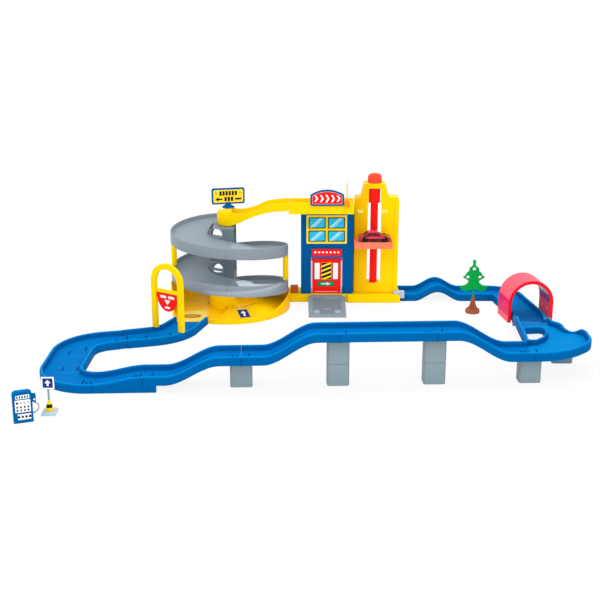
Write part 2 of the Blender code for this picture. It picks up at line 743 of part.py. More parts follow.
def make_platform():
    """The lift platform with its carriage ring round the spindle and the peg that rides in the groove."""
    foot = PLATFORM_TOP - PLATFORM_THICKNESS
    platform = block("lift_platform", -PLATFORM_LEFT, PLATFORM_RIGHT, -PLATFORM_FRONT, -PLATFORM_BACK,
                     foot, PLATFORM_TOP)
    carriage_foot = CARRIAGE_TOP - CARRIAGE_HEIGHT
    neck_half = SLOT_HALF - CARRIAGE_SIDE_GAP
    neck = block("carriage_neck", -neck_half, neck_half, -PLATFORM_BACK - OVERRUN, -CARRIAGE_RING / 2,
                 carriage_foot + GAP, CARRIAGE_TOP - GAP)
    sides = 22
    ring = rod("carriage_ring", CARRIAGE_RING, carriage_foot, CARRIAGE_TOP, (0, 0, 0), sides=sides)
    bore_radius = SPINDLE_RADIUS + CARRIAGE_BORE_GAP
    bore = rod("carriage_bore", bore_radius, carriage_foot - OVERRUN, CARRIAGE_TOP + OVERRUN, (0, 0, 0),
               sides=sides)
    peg_tip = SPINDLE_RADIUS - GROOVE_DEPTH + GAP
    peg = block("carriage_peg", -PEG_WIDTH / 2, PEG_WIDTH / 2, peg_tip, CARRIAGE_RING,
                CARRIAGE_MIDDLE - PEG_WIDTH / 2, CARRIAGE_MIDDLE + PEG_WIDTH / 2)
    cut(bore, peg)
    lip_back = -PLATFORM_FRONT + PLATFORM_LIP
    lip_left = PLATFORM_RIGHT - PLATFORM_LIP
    lip_outline = [(-PLATFORM_LEFT, -PLATFORM_FRONT), (PLATFORM_RIGHT, -PLATFORM_FRONT),
                   (PLATFORM_RIGHT, -PLATFORM_BACK), (lip_left, -PLATFORM_BACK), (lip_left, lip_back),
                   (-PLATFORM_LEFT, lip_back)]
    lip = prism("platform_lip", inset(lip_outline, GAP), PLATFORM_TOP - OVERRUN,
                PLATFORM_TOP + PLATFORM_LIP)
    join(platform, lip, neck, ring)
    cut(platform, bore)
    return painted(pivoted(platform, (0, 0, CARRIAGE_MIDDLE)), ORANGE_RED)


def make_car(platform):
    """The toy car on the platform: a moulded body and two sets of wheels on their axles."""
    ground = PLATFORM_TOP + GAP
    front = -PLATFORM_FRONT + CAR_SIDE_INSET
    middle = front + CAR_WIDTH / 2
    rise = CAR_HEIGHT - CAR_CLEARANCE
    foot = ground + CAR_CLEARANCE
    side = [(-CAR_REAR + along * CAR_LENGTH, foot + up * rise) for along, up in CAR_SIDE_SHARES]
    body = prism("car_body", side, front, front + CAR_WIDTH, "Y")
    edge = body.modifiers.new("edge", "BEVEL")
    edge.width = CAR_EDGE
    edge.segments = 1
    edge.limit_method = "ANGLE"
    edge.angle_limit = math.radians(40)
    steps = ((CABIN_BASE_SHARES, CABIN_BASE_INSET, CABIN_FOOT_SHARE),
             (CABIN_ROOF_SHARES, CABIN_ROOF_INSET, 1))
    rings = []
    for (rear, nose), margin, up in steps:
        ends = rectangle(-CAR_REAR + rear * CAR_LENGTH, -CAR_REAR + nose * CAR_LENGTH,
                         front + margin, front + CAR_WIDTH - margin)
        rings.append([Vector((x, y, foot + up * rise)) for x, y in ends])
    join(body, lofted("car_cabin", rings))
    axle_height = ground + WHEEL_RADIUS
    wheel_sets = []
    for name, share in (("car_rear_wheels", REAR_AXLE_SHARE), ("car_front_wheels", FRONT_AXLE_SHARE)):
        centre = (-CAR_REAR + share * CAR_LENGTH, middle, axle_height)
        half = CAR_WIDTH / 2
        inner = half - WHEEL_WIDTH
        for side_name, low, high in (("near", -half - OVERRUN, -inner + WHEEL_PLAY),
                                     ("far", inner - WHEEL_PLAY, half + OVERRUN)):
            cut(body, rod(f"{name}_{side_name}_arch", WHEEL_RADIUS + WHEEL_PLAY, low, high, centre, "Y",
                          SIDES))
        cut(body, rod(f"{name}_tunnel", AXLE_RADIUS + AXLE_PLAY, -half, half, centre, "Y"))
        profile = [(0, -half), (WHEEL_RADIUS, -half), (WHEEL_RADIUS, -inner), (AXLE_RADIUS, -inner),
                   (AXLE_RADIUS, inner), (WHEEL_RADIUS, inner), (WHEEL_RADIUS, half), (0, half)]
        wheels = turned(name, profile, centre, "Y", 20)
        wheel_sets.append(painted(pivoted(smooth(wheels), centre), BLACK, TYRE_ROUGHNESS))
    painted(pivoted(body, (-CAR_REAR + CAR_LENGTH / 2, middle, ground)), DARK_RED)
    carried(body, platform)
    return body, wheel_sets


def make_building():
    """The two blue shells of the building, with the door opening, hinge bosses and side recesses."""
    inner_left = BUILDING_LEFT + PLASTIC_WALL
    inner_right = BUILDING_RIGHT - PLASTIC_WALL
    inner_top = BUILDING_TOP - PLASTIC_WALL
    front = block("building_front", BUILDING_LEFT, BUILDING_RIGHT, -BASE_FRONT, BUILDING_SEAM,
                  BUILDING_FOOT, BUILDING_TOP)
    cut(front, block("front_cavity", inner_left, inner_right, -BASE_FRONT + PLASTIC_WALL,
                     BUILDING_SEAM + OVERRUN, BUILDING_FOOT - OVERRUN, inner_top))
    pivot_y = -BASE_FRONT + DOOR_INSET + DOOR_THICKNESS
    pivot_z = DOOR_TOP - DOOR_HEADROOM
    for name, side in (("left", -1), ("right", 1)):
        jamb = DOOR_LEFT if side < 0 else DOOR_RIGHT
        near = jamb + side * DOOR_SIDE_GAP
        far = near + side * DOOR_BOSS_LENGTH
        join(front, block(f"door_boss_{name}", min(near, far), max(near, far),
                          -BASE_FRONT + PLASTIC_WALL / 2,
                          -BASE_FRONT + DOOR_BOSS_DEPTH + DOOR_INSET, pivot_z - DOOR_BOSS_HEIGHT / 2,
                          pivot_z + DOOR_BOSS_HEIGHT / 2))
        middle = (jamb + (BUILDING_LEFT if side < 0 else BUILDING_RIGHT)) / 2
        cut(front, block(f"recess_{name}", middle - RECESS_WIDTH / 2, middle + RECESS_WIDTH / 2,
                         -BASE_FRONT - OVERRUN, -BASE_FRONT + RECESS_DEPTH, BUILDING_FOOT + BASE_BEVEL,
                         DOOR_TOP))
    cut(front, block("door_opening", DOOR_LEFT, DOOR_RIGHT, -BASE_FRONT - OVERRUN,
                     -BASE_FRONT + PLASTIC_WALL + OVERRUN, BUILDING_FOOT - OVERRUN, DOOR_TOP))
    door_middle = (DOOR_LEFT + DOOR_RIGHT) / 2
    pin_half = DOOR_WIDTH / 2 + DOOR_PIN_REACH
    cut(front, rod("door_pin_holes", DOOR_PIN_RADIUS + GAP, -pin_half - GAP, pin_half + GAP,
                   (door_middle, pivot_y, pivot_z), "X"))
    painted(front, HOUSE_BLUE)

    seam = BUILDING_SEAM + GAP
    back = block("building_back", BUILDING_LEFT, BUILDING_RIGHT, seam, BASE_BACK, BUILDING_FOOT,
                 BUILDING_TOP)
    cut(back, block("back_cavity", inner_left, inner_right, seam - OVERRUN, BASE_BACK - PLASTIC_WALL,
                    BUILDING_FOOT - OVERRUN, inner_top))
    centre = (BUILDING_LEFT + BUILDING_RIGHT) / 2
    cut(back, block("back_doorway", centre - BACK_DOOR_WIDTH / 2, centre + BACK_DOOR_WIDTH / 2,
                    BASE_BACK - PLASTIC_WALL - OVERRUN, BASE_BACK + OVERRUN, BUILDING_FOOT - OVERRUN,
                    BUILDING_FOOT + BACK_DOOR_HEIGHT))
    painted(back, HOUSE_BLUE)

    half = DOOR_WIDTH / 2 - DOOR_SIDE_GAP
    profile = [(0, -pin_half), (DOOR_PIN_RADIUS, -pin_half), (DOOR_PIN_RADIUS, -half),
               (DOOR_BARREL_RADIUS, -half), (DOOR_BARREL_RADIUS, half), (DOOR_PIN_RADIUS, half),
               (DOOR_PIN_RADIUS, pin_half), (0, pin_half)]
    pivot = (door_middle, pivot_y, pivot_z)
    flap = turned("door_flap", profile, pivot, "X", SMALL_SIDES)
    plate = block("door_plate", door_middle - half, door_middle + half, pivot_y - DOOR_THICKNESS, pivot_y,
                  BUILDING_FOOT + DOOR_FOOT_GAP, pivot_z)
    join(flap, plate)
    painted(pivoted(flap, pivot), RED)


def make_front_trim():
    """The window panel and the awning on the front of the building."""
    back = -BASE_FRONT - GAP
    left = BUILDING_LEFT + WINDOW_PANEL_LEFT
    top = WINDOW_PANEL_FOOT + WINDOW_PANEL_HEIGHT
    panel = prism("window_panel", rectangle(left, left + WINDOW_PANEL_WIDTH, WINDOW_PANEL_FOOT, top),
                  back - WINDOW_PANEL_THICKNESS, back, "Y")
    pane_width = (WINDOW_PANEL_WIDTH - 3 * WINDOW_FRAME) / 2
    pane_height = (WINDOW_PANEL_HEIGHT - 3 * WINDOW_FRAME) / 2
    for column in range(2):
        for row in range(2):
            pane_left = left + WINDOW_FRAME + column * (pane_width + WINDOW_FRAME)
            pane_foot = WINDOW_PANEL_FOOT + WINDOW_FRAME + row * (pane_height + WINDOW_FRAME)
            cut(panel, block(f"pane_{column}_{row}", pane_left, pane_left + pane_width,
                             back - WINDOW_PANEL_THICKNESS - OVERRUN,
                             back - WINDOW_PANEL_THICKNESS + PANE_DEPTH,
                             pane_foot, pane_foot + pane_height))
    painted(panel, YELLOW)

    middle = (DOOR_LEFT + DOOR_RIGHT) / 2
    start = middle - AWNING_WIDTH / 2
    tooth = AWNING_WIDTH / AWNING_TEETH
    outline = []
    for k in range(AWNING_TEETH):
        outline.append((start + k * tooth, AWNING_FOOT))
        outline.append((start + k * tooth + tooth / 2, AWNING_FOOT - AWNING_TOOTH))
    outline += [(start + AWNING_WIDTH, AWNING_FOOT), (start + AWNING_WIDTH, AWNING_FOOT + AWNING_HEIGHT),
                (start, AWNING_FOOT + AWNING_HEIGHT)]
    painted(prism("awning", outline, back - AWNING_THICKNESS, back, "Y"), RED)


def make_exit_ramp():
    """The grey ramp in front of the door: a wedge, hollow below, with a shallow dish and two bumps."""
    middle = (DOOR_LEFT + DOOR_RIGHT) / 2
    left = middle - EXIT_RAMP_WIDTH / 2
    right = middle + EXIT_RAMP_WIDTH / 2
    end = -EXIT_RAMP_BACK - EXIT_RAMP_LENGTH
    slope = (EXIT_RAMP_HIGH - EXIT_RAMP_LOW) / EXIT_RAMP_LENGTH

    def surface(y, depth=0):
        return EXIT_RAMP_LOW + (y - end) * slope - depth

    side = [(end, 0), (-EXIT_RAMP_BACK, 0), (-EXIT_RAMP_BACK, EXIT_RAMP_HIGH), (end, EXIT_RAMP_LOW)]
    ramp = prism("exit_ramp", side, left, right, "X")
    hollow_start = end + (PLASTIC_WALL * 2 - EXIT_RAMP_LOW) / slope
    hollow_end = -EXIT_RAMP_BACK - PLASTIC_WALL
    hollow = [(hollow_start, -OVERRUN), (hollow_end, -OVERRUN),
              (hollow_end, surface(hollow_end, PLASTIC_WALL)),
              (hollow_start, surface(hollow_start, PLASTIC_WALL))]
    cut(ramp, prism("exit_ramp_hollow", hollow, left + PLASTIC_WALL, right - PLASTIC_WALL, "X"))
    dish_start = end + EXIT_RAMP_END
    dish_end = -EXIT_RAMP_BACK - EXIT_RAMP_RIM / 2
    dish = [(dish_start, surface(dish_start, EXIT_RAMP_DISH)),
            (dish_end, surface(dish_end, EXIT_RAMP_DISH)),
            (dish_end, surface(dish_end, -OVERRUN)), (dish_start, surface(dish_start, -OVERRUN))]
    cut(ramp, prism("exit_ramp_dish", dish, left + EXIT_RAMP_RIM, right - EXIT_RAMP_RIM, "X"))
    bump_end = dish_start + BUMP_LENGTH + EXIT_RAMP_DISH
    for name, bump_left in (("left", left + EXIT_RAMP_RIM + EXIT_RAMP_DISH),
                            ("right", right - EXIT_RAMP_RIM - EXIT_RAMP_DISH - BUMP_WIDTH)):
        bump_start = bump_end - BUMP_LENGTH
        bump = [(bump_start, surface(bump_start, 2 * EXIT_RAMP_DISH)),
                (bump_end, surface(bump_end, 2 * EXIT_RAMP_DISH)),
                (bump_end, surface(bump_end)), (bump_start, surface(bump_start))]
        join(ramp, prism(f"exit_bump_{name}", bump, bump_left, bump_left + BUMP_WIDTH, "X"))
    clip = block("exit_ramp_clip", DOOR_LEFT, DOOR_RIGHT, -EXIT_RAMP_BACK - PLASTIC_WALL / 2,
                 -BASE_FRONT - GAP, EXIT_CLIP_FOOT, EXIT_RAMP_HIGH - EXIT_RAMP_DISH)
    join(ramp, clip)
    painted(ramp, RAMP_GREY)


def make_deck():
    """The yellow roof deck: a channel beyond the front of the building, and the roof plate behind it."""
    wall = PLASTIC_WALL
    under = DECK_FLOOR - wall
    section = [(-DECK_FRONT, DECK_FOOT), (-DECK_FRONT + wall, DECK_FOOT), (-DECK_FRONT + wall, under),
               (-DECK_BACK - wall, under), (-DECK_BACK - wall, DECK_FOOT), (-DECK_BACK, DECK_FOOT),
               (-DECK_BACK, DECK_WALL_TOP), (-DECK_BACK - wall, DECK_WALL_TOP),
               (-DECK_BACK - wall, DECK_FLOOR),
               (-DECK_FRONT + wall, DECK_FLOOR), (-DECK_FRONT + wall, DECK_WALL_TOP),
               (-DECK_FRONT, DECK_WALL_TOP)]
    deck = prism("roof_deck", section, DECK_LEFT, DECK_RIGHT, "X")
    join(deck, block("roof_plate", BUILDING_LEFT, DECK_RIGHT, -DECK_BACK - wall / 2, BASE_BACK,
                     DECK_FOOT, DECK_FOOT + wall))
    painted(deck, YELLOW)


def make_chute():
    """The sloping chute from the deck to the bowl over the column, and the boss for the exit sign."""
    wall = PLASTIC_WALL
    half = DECK_WIDTH / 2
    start = DECK_LEFT - GAP
    first_foot = DECK_FLOOR - wall
    rings = []
    for share, drop in CHUTE_FOOT_SHARES:
        x = start + (SPIRAL_X - start) * share
        foot = first_foot + (BOWL_FOOT - first_foot) * drop
        rim = DECK_WALL_TOP + (BOWL_RIM - DECK_WALL_TOP) * read_shares(CHUTE_RIM_SHARES, share)
        section = [(-half, foot), (half, foot), (half, rim), (half - wall, rim), (half - wall, foot + wall),
                   (wall - half, foot + wall), (wall - half, rim), (-half, rim)]
        rings.append([Vector((x, CHANNEL_Y + across, up)) for across, up in section])
    chute = lofted("bridge_chute", rings)
    floor_outline = arc(SPIRAL_X, CHANNEL_Y, half - wall / 2, math.pi / 2, 3 * math.pi / 2, 12)
    floor_outline += [(SPIRAL_X + wall, CHANNEL_Y - half + wall / 2),
                      (SPIRAL_X + wall, CHANNEL_Y + half - wall / 2)]
    floor = prism("bowl_floor", floor_outline, BOWL_FOOT + TRAY_FOOT_LIFT, BOWL_FOOT + wall)
    wall_rings = []
    for k in range(9):
        turn = BOWL_WALL_START + (BOWL_WALL_END - BOWL_WALL_START) * k / 8
        away = Vector((math.cos(turn), math.sin(turn), 0))
        centre = Vector((SPIRAL_X, CHANNEL_Y, 0))
        corners = ((half - wall, BOWL_FOOT), (half, BOWL_FOOT), (half, BOWL_RIM - GAP),
                   (half - wall, BOWL_RIM - GAP))
        wall_rings.append([centre + away * reach + Vector((0, 0, up)) for reach, up in corners])
    bowl_wall = lofted("bowl_wall", wall_rings)
    far_y = CHANNEL_Y + half
    far_wall = block("bowl_far_wall", SPIRAL_X - BOWL_FAR_WALL, SPIRAL_X + wall, far_y - wall + GAP,
                     far_y - GAP,
                     BOWL_FOOT + GAP, BOWL_RIM - GAP)
    boss_x = SPIRAL_X - EXIT_SIGN_OFFSET
    boss_y = -DECK_BACK + EXIT_SIGN_BACK
    boss = rod("sign_boss", EXIT_BOSS_RADIUS, BOWL_RIM - EXIT_BOSS_HEIGHT, BOWL_RIM, (boss_x, boss_y, 0),
               sides=SIDES)
    join(chute, floor, bowl_wall, far_wall, boss)
    cut(chute, rod("sign_boss_hole", EXIT_PIN_RADIUS + GAP, BOWL_RIM - EXIT_PIN_LENGTH - GAP,
                   BOWL_RIM + OVERRUN,
                   (boss_x, boss_y, 0), sides=SIDES))
    painted(smooth(chute), YELLOW)

    top = BOWL_RIM + GAP
    flare_top = top + EXIT_FLARE_HEIGHT
    plate_foot = top + EXIT_SIGN_LIFT
    neck_top = plate_foot + SIGN_CORNER
    profile = [(0, BOWL_RIM - EXIT_PIN_LENGTH), (EXIT_PIN_RADIUS, BOWL_RIM - EXIT_PIN_LENGTH),
               (EXIT_PIN_RADIUS, top),
               (EXIT_FLARE_RADIUS, top), (EXIT_NECK_RADIUS, flare_top), (EXIT_NECK_RADIUS, neck_top),
               (0, neck_top)]
    sign = turned("exit_sign", profile, (boss_x, boss_y, 0))
    half_width = EXIT_SIGN_WIDTH / 2
    outline = filleted(rectangle(boss_x - half_width, boss_x + half_width, plate_foot,
                                 plate_foot + EXIT_SIGN_HEIGHT),
                       SIGN_CORNER, 3)
    plate = prism("exit_sign_plate", outline, boss_y - EXIT_SIGN_THICKNESS / 2,
                  boss_y + EXIT_SIGN_THICKNESS / 2, "Y")
    join(sign, turned_in_plan(plate, boss_x, boss_y, EXIT_SIGN_TURN))
    painted(smooth(pivoted(sign, (boss_x, boss_y, BOWL_RIM))), HOUSE_BLUE)


def make_roof_sign():
    """The arched sign in front of the deck."""
    left = DECK_RIGHT - ROOF_SIGN_LEFT
    middle = left + ROOF_SIGN_WIDTH / 2
    shoulder = ROOF_SIGN_FOOT + ROOF_SIGN_HEIGHT - ROOF_SIGN_RISE
    half = ROOF_SIGN_WIDTH / 2
    radius = (half * half + ROOF_SIGN_RISE * ROOF_SIGN_RISE) / (2 * ROOF_SIGN_RISE)
    spread = math.asin(half / radius)
    top = arc(middle, shoulder + ROOF_SIGN_RISE - radius, radius, math.pi / 2 - spread,
              math.pi / 2 + spread, 8)
    corners = [(left, ROOF_SIGN_FOOT), (left + ROOF_SIGN_WIDTH, ROOF_SIGN_FOOT)] + top
    rounds = [SIGN_CORNER, SIGN_CORNER] + [0] * len(top)
    back = -DECK_FRONT - GAP
    sign = prism("roof_sign", filleted(corners, rounds, 2), back - ROOF_SIGN_THICKNESS, back, "Y")
    painted(sign, HOUSE_BLUE)


def make_barrier():
    """The barrier at the right end of the deck: a forked bracket and an arm on a pin."""
    x = DECK_RIGHT - BARRIER_INSET
    back = -DECK_FRONT - GAP
    front = back - BRACKET_DEPTH
    y = back - BRACKET_DEPTH / 2
    half = BRACKET_WIDTH / 2
    top = BARRIER_PIVOT_HEIGHT + BRACKET_ABOVE_PIVOT
    bracket = block("barrier_bracket", x - half, x + half, front, back, top - BRACKET_HEIGHT, top)
    slot_foot = BARRIER_PIVOT_HEIGHT - BARRIER_HUB_RADIUS - BARRIER_PLAY
    cut(bracket, block("bracket_slot", x - half + BRACKET_CHEEK, x + half - BRACKET_CHEEK, front - OVERRUN,
                       back + OVERRUN, slot_foot, top + OVERRUN))
    pivot = (x, y, BARRIER_PIVOT_HEIGHT)
    cut(bracket, rod("bracket_hole", BARRIER_PIN_RADIUS + GAP, -half - OVERRUN, half + OVERRUN, pivot, "X"))
    painted(bracket, ORANGE_RED)

    hub_half = half - BRACKET_CHEEK - BARRIER_PLAY
    pin_half = half - GAP
    profile = [(0, -pin_half), (BARRIER_PIN_RADIUS, -pin_half), (BARRIER_PIN_RADIUS, -hub_half),
               (BARRIER_HUB_RADIUS, -hub_half), (BARRIER_HUB_RADIUS, hub_half),
               (BARRIER_PIN_RADIUS, hub_half),
               (BARRIER_PIN_RADIUS, pin_half), (0, pin_half)]
    arm = turned("barrier_arm", profile, pivot, "X", SMALL_SIDES)
    join(arm, rod("barrier_bar", BARRIER_RADIUS, 0, BARRIER_LENGTH, pivot, sides=8))
    painted(smooth(pivoted(arm, pivot)), YELLOW)


def rim_height(angle):
    """The height of the spiral's rim. The ramp goes down as the angle grows, a little unevenly."""
    turned_down = RAMP_PITCH * (angle - math.pi) / (2 * math.pi)
    swing = RAMP_SWING * (math.sin(angle - RAMP_SWING_ANGLE) - math.sin(math.pi - RAMP_SWING_ANGLE))
    excess = -turned_down - swing
    if angle < math.pi:
        share = (math.pi - angle) / (math.pi - RAMP_START)
        excess *= 1 - RAMP_EASE_SHARE * share * share
    return RAMP_LEFT_RIM_HEIGHT + excess


def around(radius, angle, height):
    """A point at a radius and angle about the spiral's centre."""
    return Vector((SPIRAL_X + radius * math.cos(angle), SPIRAL_Y + radius * math.sin(angle), height))


def make_ramps():
    """The four half turns of the grey ramp."""
    ends = (RAMP_START,) + RAMP_SEAMS + (RAMP_END,)
    inner = COLUMN_RADIUS + GAP
    outer = SPIRAL_RADIUS
    wall = outer - RAMP_WALL
    floor = -RAMP_RIM
    under = floor - RAMP_FLOOR
    section = [(outer, -RAMP_SKIRT), (outer, 0), (wall, 0), (wall, floor), (inner + PLASTIC_WALL, floor),
               (inner + PLASTIC_WALL, floor + RAMP_INNER_RIM), (inner, floor + RAMP_INNER_RIM),
               (inner, under),
               (wall, under), (wall, -RAMP_SKIRT)]
    seam = GAP / COLUMN_RADIUS
    for number, (start, end) in enumerate(zip(ends, ends[1:]), 1):
        last = end - seam
        count = round((last - start) / RAMP_STEP)
        rings = []
        for k in range(count + 1):
            angle = start + (last - start) * k / count
            rings.append([around(radius, angle, rim_height(angle) + up) for radius, up in section])
        painted(smooth(lofted(f"ramp_{number}", rings)), RAMP_GREY)


def make_columns():
    """The spiral's column: a tube, open to the right, with a yellow foot and two lengths with windows."""
    start = COLUMN_OPEN_HALF
    end = 2 * math.pi - COLUMN_OPEN_HALF
    outer = arc(SPIRAL_X, SPIRAL_Y, COLUMN_RADIUS, start, end, 16)
    inner = arc(SPIRAL_X, SPIRAL_Y, COLUMN_RADIUS - PLASTIC_WALL, end, start, 16)
    top = BOWL_FOOT - GAP
    painted(smooth(prism("column_foot", outer + inner, TRAY_FLOOR + GAP, COLUMN_FOOT_TOP)), YELLOW)
    levels = (("column_lower", COLUMN_FOOT_TOP + GAP, COLUMN_SPLIT, LOWER_WINDOW_FEET, LOWER_SHOULDER_TOP),
              ("column_upper", COLUMN_SPLIT + GAP, top, UPPER_WINDOW_FEET, top))
    for name, foot, head, window_feet, shoulder in levels:
        column = prism(name, outer + inner, foot, head)
        if name == "column_upper":
            cap_outline = inset(outer, GAP)
            join(column, prism("column_cap", cap_outline, top - PLASTIC_WALL, top - TRAY_FOOT_LIFT))
        for angle, window_foot in zip(WINDOW_ANGLES, window_feet):
            half = WINDOW_WIDTH / 2
            opening = filleted([(SPIRAL_Y - half, window_foot), (SPIRAL_Y + half, window_foot),
                                (SPIRAL_Y + half, window_foot + WINDOW_HEIGHT),
                                (SPIRAL_Y - half, window_foot + WINDOW_HEIGHT)],
                                [0, 0, WINDOW_CORNER, WINDOW_CORNER])
            window = prism(f"{name}_window_{round(math.degrees(angle))}", opening,
                           SPIRAL_X + COLUMN_RADIUS / 2, SPIRAL_X + COLUMN_RADIUS + OVERRUN, "X")
            cut(column, turned_in_plan(window, SPIRAL_X, SPIRAL_Y, angle))
        left = SPIRAL_X - COLUMN_RADIUS
        bend = arc(left + COLUMN_SHOULDER, shoulder - COLUMN_SHOULDER, COLUMN_SHOULDER, math.pi / 2,
                   math.pi, 5)
        corner = [(left - OVERRUN, shoulder - COLUMN_SHOULDER), (left - OVERRUN, head + OVERRUN),
                  (left + COLUMN_SHOULDER, head + OVERRUN)] + bend
        cut(column, prism(f"{name}_shoulder", corner, SPIRAL_Y - COLUMN_RADIUS - OVERRUN,
                          SPIRAL_Y + COLUMN_RADIUS + OVERRUN, "Y"))
        painted(smooth(column), RAMP_GREY)


def make_posts():
    """The yellow posts that hold the two turns of the ramp apart, cut to the slope of the ramp."""
    for name, upper_angle in (("post_left", math.pi), ("post_right", 2 * math.pi)):
        middle = around(SPIRAL_RADIUS - POST_RADIUS, upper_angle, 0)
        rings = []
        for level in (0, 1):
            ring = []
            for k in range(14):
                turn = 2 * math.pi * k / 14
                point = middle + Vector((math.cos(turn), math.sin(turn), 0)) * POST_RADIUS
                across = point - Vector((SPIRAL_X, SPIRAL_Y, 0))
                swing = math.remainder(math.atan2(across.y, across.x) - upper_angle, 2 * math.pi)
                if level:
                    point.z = rim_height(upper_angle + swing) - RAMP_SKIRT - GAP
                else:
                    point.z = rim_height(upper_angle + swing + 2 * math.pi) + GAP
                ring.append(point)
            rings.append(ring)
        painted(smooth(lofted(name, rings)), YELLOW)


def tray_rim(angle):
    """The height of the tray's wall at an angle about the spiral, from the spout round to the left."""
    full_turn = 2 * math.pi
    to_right = eased((angle - TRAY_RISE_START) / (full_turn - TRAY_RISE_START))
    quarter = math.pi / 2
    to_back = eased((angle - full_turn) / quarter)
    to_left = eased((angle - full_turn - quarter) / quarter)
    right_part = (TRAY_HIGH_RIM - TRAY_LOW_RIM) * to_right
    back_part = (TRAY_BACK_RIM - TRAY_HIGH_RIM) * to_back
    left_part = (TRAY_LEFT_RIM - TRAY_BACK_RIM) * to_left
    return TRAY_LOW_RIM + right_part + back_part + left_part


def make_tray():
    """The yellow base of the spiral: a round tray with a banked wall, the last of the lane, and a spout."""
    wall = TRAY_WALL
    spout_left = SPIRAL_X - SPOUT_LEFT
    spout_right = SPIRAL_X - SPOUT_RIGHT
    start = math.pi + math.acos(SPOUT_RIGHT / (TRAY_RADIUS - wall / 2))
    end = 3 * math.pi
    steps = 40
    middle = TRAY_RADIUS - wall / 2
    outline = arc(SPIRAL_X, SPIRAL_Y, middle, start, end, steps)
    outline += [(spout_left + wall / 2, SPOUT_END_Y), (spout_right, SPOUT_END_Y)]
    tray = prism("spiral_base", outline, TRAY_FOOT_LIFT, TRAY_FLOOR)
    rings = []
    for k in range(steps + 1):
        angle = start + (end - start) * k / steps
        rings.append([around(radius, angle, level) for radius, level in
                      ((TRAY_RADIUS, 0), (TRAY_RADIUS, tray_rim(angle)),
                       (TRAY_RADIUS - wall, tray_rim(angle)),
                       (TRAY_RADIUS - wall, 0))])
    spout_height = ROAD_HEIGHT
    side_steps = 6
    tangent = SPIRAL_X - TRAY_RADIUS
    for k in range(1, side_steps + 1):
        share = k / side_steps
        x = tangent + (spout_left - tangent) * share
        y = SPIRAL_Y + (SPOUT_END_Y - SPIRAL_Y) * share
        top = TRAY_LEFT_RIM + (spout_height - TRAY_LEFT_RIM) * eased(share)
        rings.append([Vector((x, y, 0)), Vector((x, y, top)), Vector((x + wall, y, top)),
                      Vector((x + wall, y, 0))])
    join(tray, lofted("tray_wall", rings))
    lane = []
    lane_steps = 10
    for k in range(lane_steps + 1):
        share = k / lane_steps
        angle = LANE_START + (LANE_END - LANE_START) * share
        level = LANE_HIGH + (LANE_LOW - LANE_HIGH) * share
        corners = ((COLUMN_RADIUS + wall, TRAY_FLOOR / 2), (TRAY_RADIUS - wall / 2, TRAY_FLOOR / 2),
                   (TRAY_RADIUS - wall / 2, level), (COLUMN_RADIUS + wall, level))
        lane.append([around(radius, angle, up) for radius, up in corners])
    join(tray, lofted("tray_lane", lane))
    join(tray, block("spout_fin", spout_right - wall, spout_right - GAP, SPOUT_END_Y,
                     SPOUT_END_Y + SPOUT_FIN,
                     TRAY_FLOOR / 2, TRAY_LOW_RIM + OVERRUN))
    painted(smooth(tray), YELLOW)


def road_section(width, drop):
    """The section of a road: a floor between two rounded walls, with a pocket below between its skirts."""
    outer = width / 2
    inner = outer - ROAD_WALL
    middle = outer - ROAD_WALL / 2
    pocket = outer - ROAD_SKIRT
    under = ROAD_FLOOR - ROAD_SHEET
    crown = [(math.cos(math.pi * k / 4) * ROAD_WALL / 2,
              ROAD_HEIGHT - ROAD_ROUND + math.sin(math.pi * k / 4) * ROAD_ROUND)
             for k in range(5)]
    right = [(middle + across, up) for across, up in crown]
    left = [(across - middle, up) for across, up in crown]
    return ([(-outer, -drop), (-pocket, -drop), (-pocket, under), (pocket, under), (pocket, -drop),
             (outer, -drop)]
            + right + [(inner, ROAD_FLOOR), (-inner, ROAD_FLOOR)] + left)


def make_road(name, points, foot, width=ROAD_WIDTH, bulge=0, drop=None, ends=(None, None)):
    """A road along a plan route. Foot and drop give its height and skirt at a distance along it."""
    total = sum((Vector(b) - Vector(a)).length for a, b in zip(points, points[1:]))
    rings = []
    distance = 0
    for k, point in enumerate(points):
        before = Vector(points[max(k - 1, 0)])
        after = Vector(points[min(k + 1, len(points) - 1)])
        distance += (Vector(point) - before).length
        heading = (after - before).normalized()
        across = Vector((heading.y, -heading.x))
        forced = ends[0] if k == 0 else ends[1] if k == len(points) - 1 else None
        if forced is not None:
            across = Vector((math.sin(forced), -math.cos(forced)))
        level = foot(distance, total)
        skirt = drop(distance, total) if drop else 0
        wide = width + bulge * math.sin(math.pi * distance / total)
        rings.append([Vector((point[0] + side * across.x, point[1] + side * across.y, level + up))
                      for side, up in road_section(wide, skirt)])
    return painted(smooth(lofted(name, rings)), ROAD_BLUE)


def flat_foot(distance, total):
    return 0


def climb(low, high):
    """A height that rises from low to high in an S, with its ends flat."""
    def foot(distance, total):
        share = (distance / total - FLAT_END_SHARE) / (1 - 2 * FLAT_END_SHARE)
        return low + (high - low) * eased(share)
    return foot


def front_point(distance, across=0):
    """A plan point on the line of the front roads, at a distance along it and to its far side."""
    cos = math.cos(FRONT_ROAD_TURN)
    sin = math.sin(FRONT_ROAD_TURN)
    return (FRONT_ROAD_X + distance * cos - across * sin, FRONT_ROAD_Y + distance * sin + across * cos)


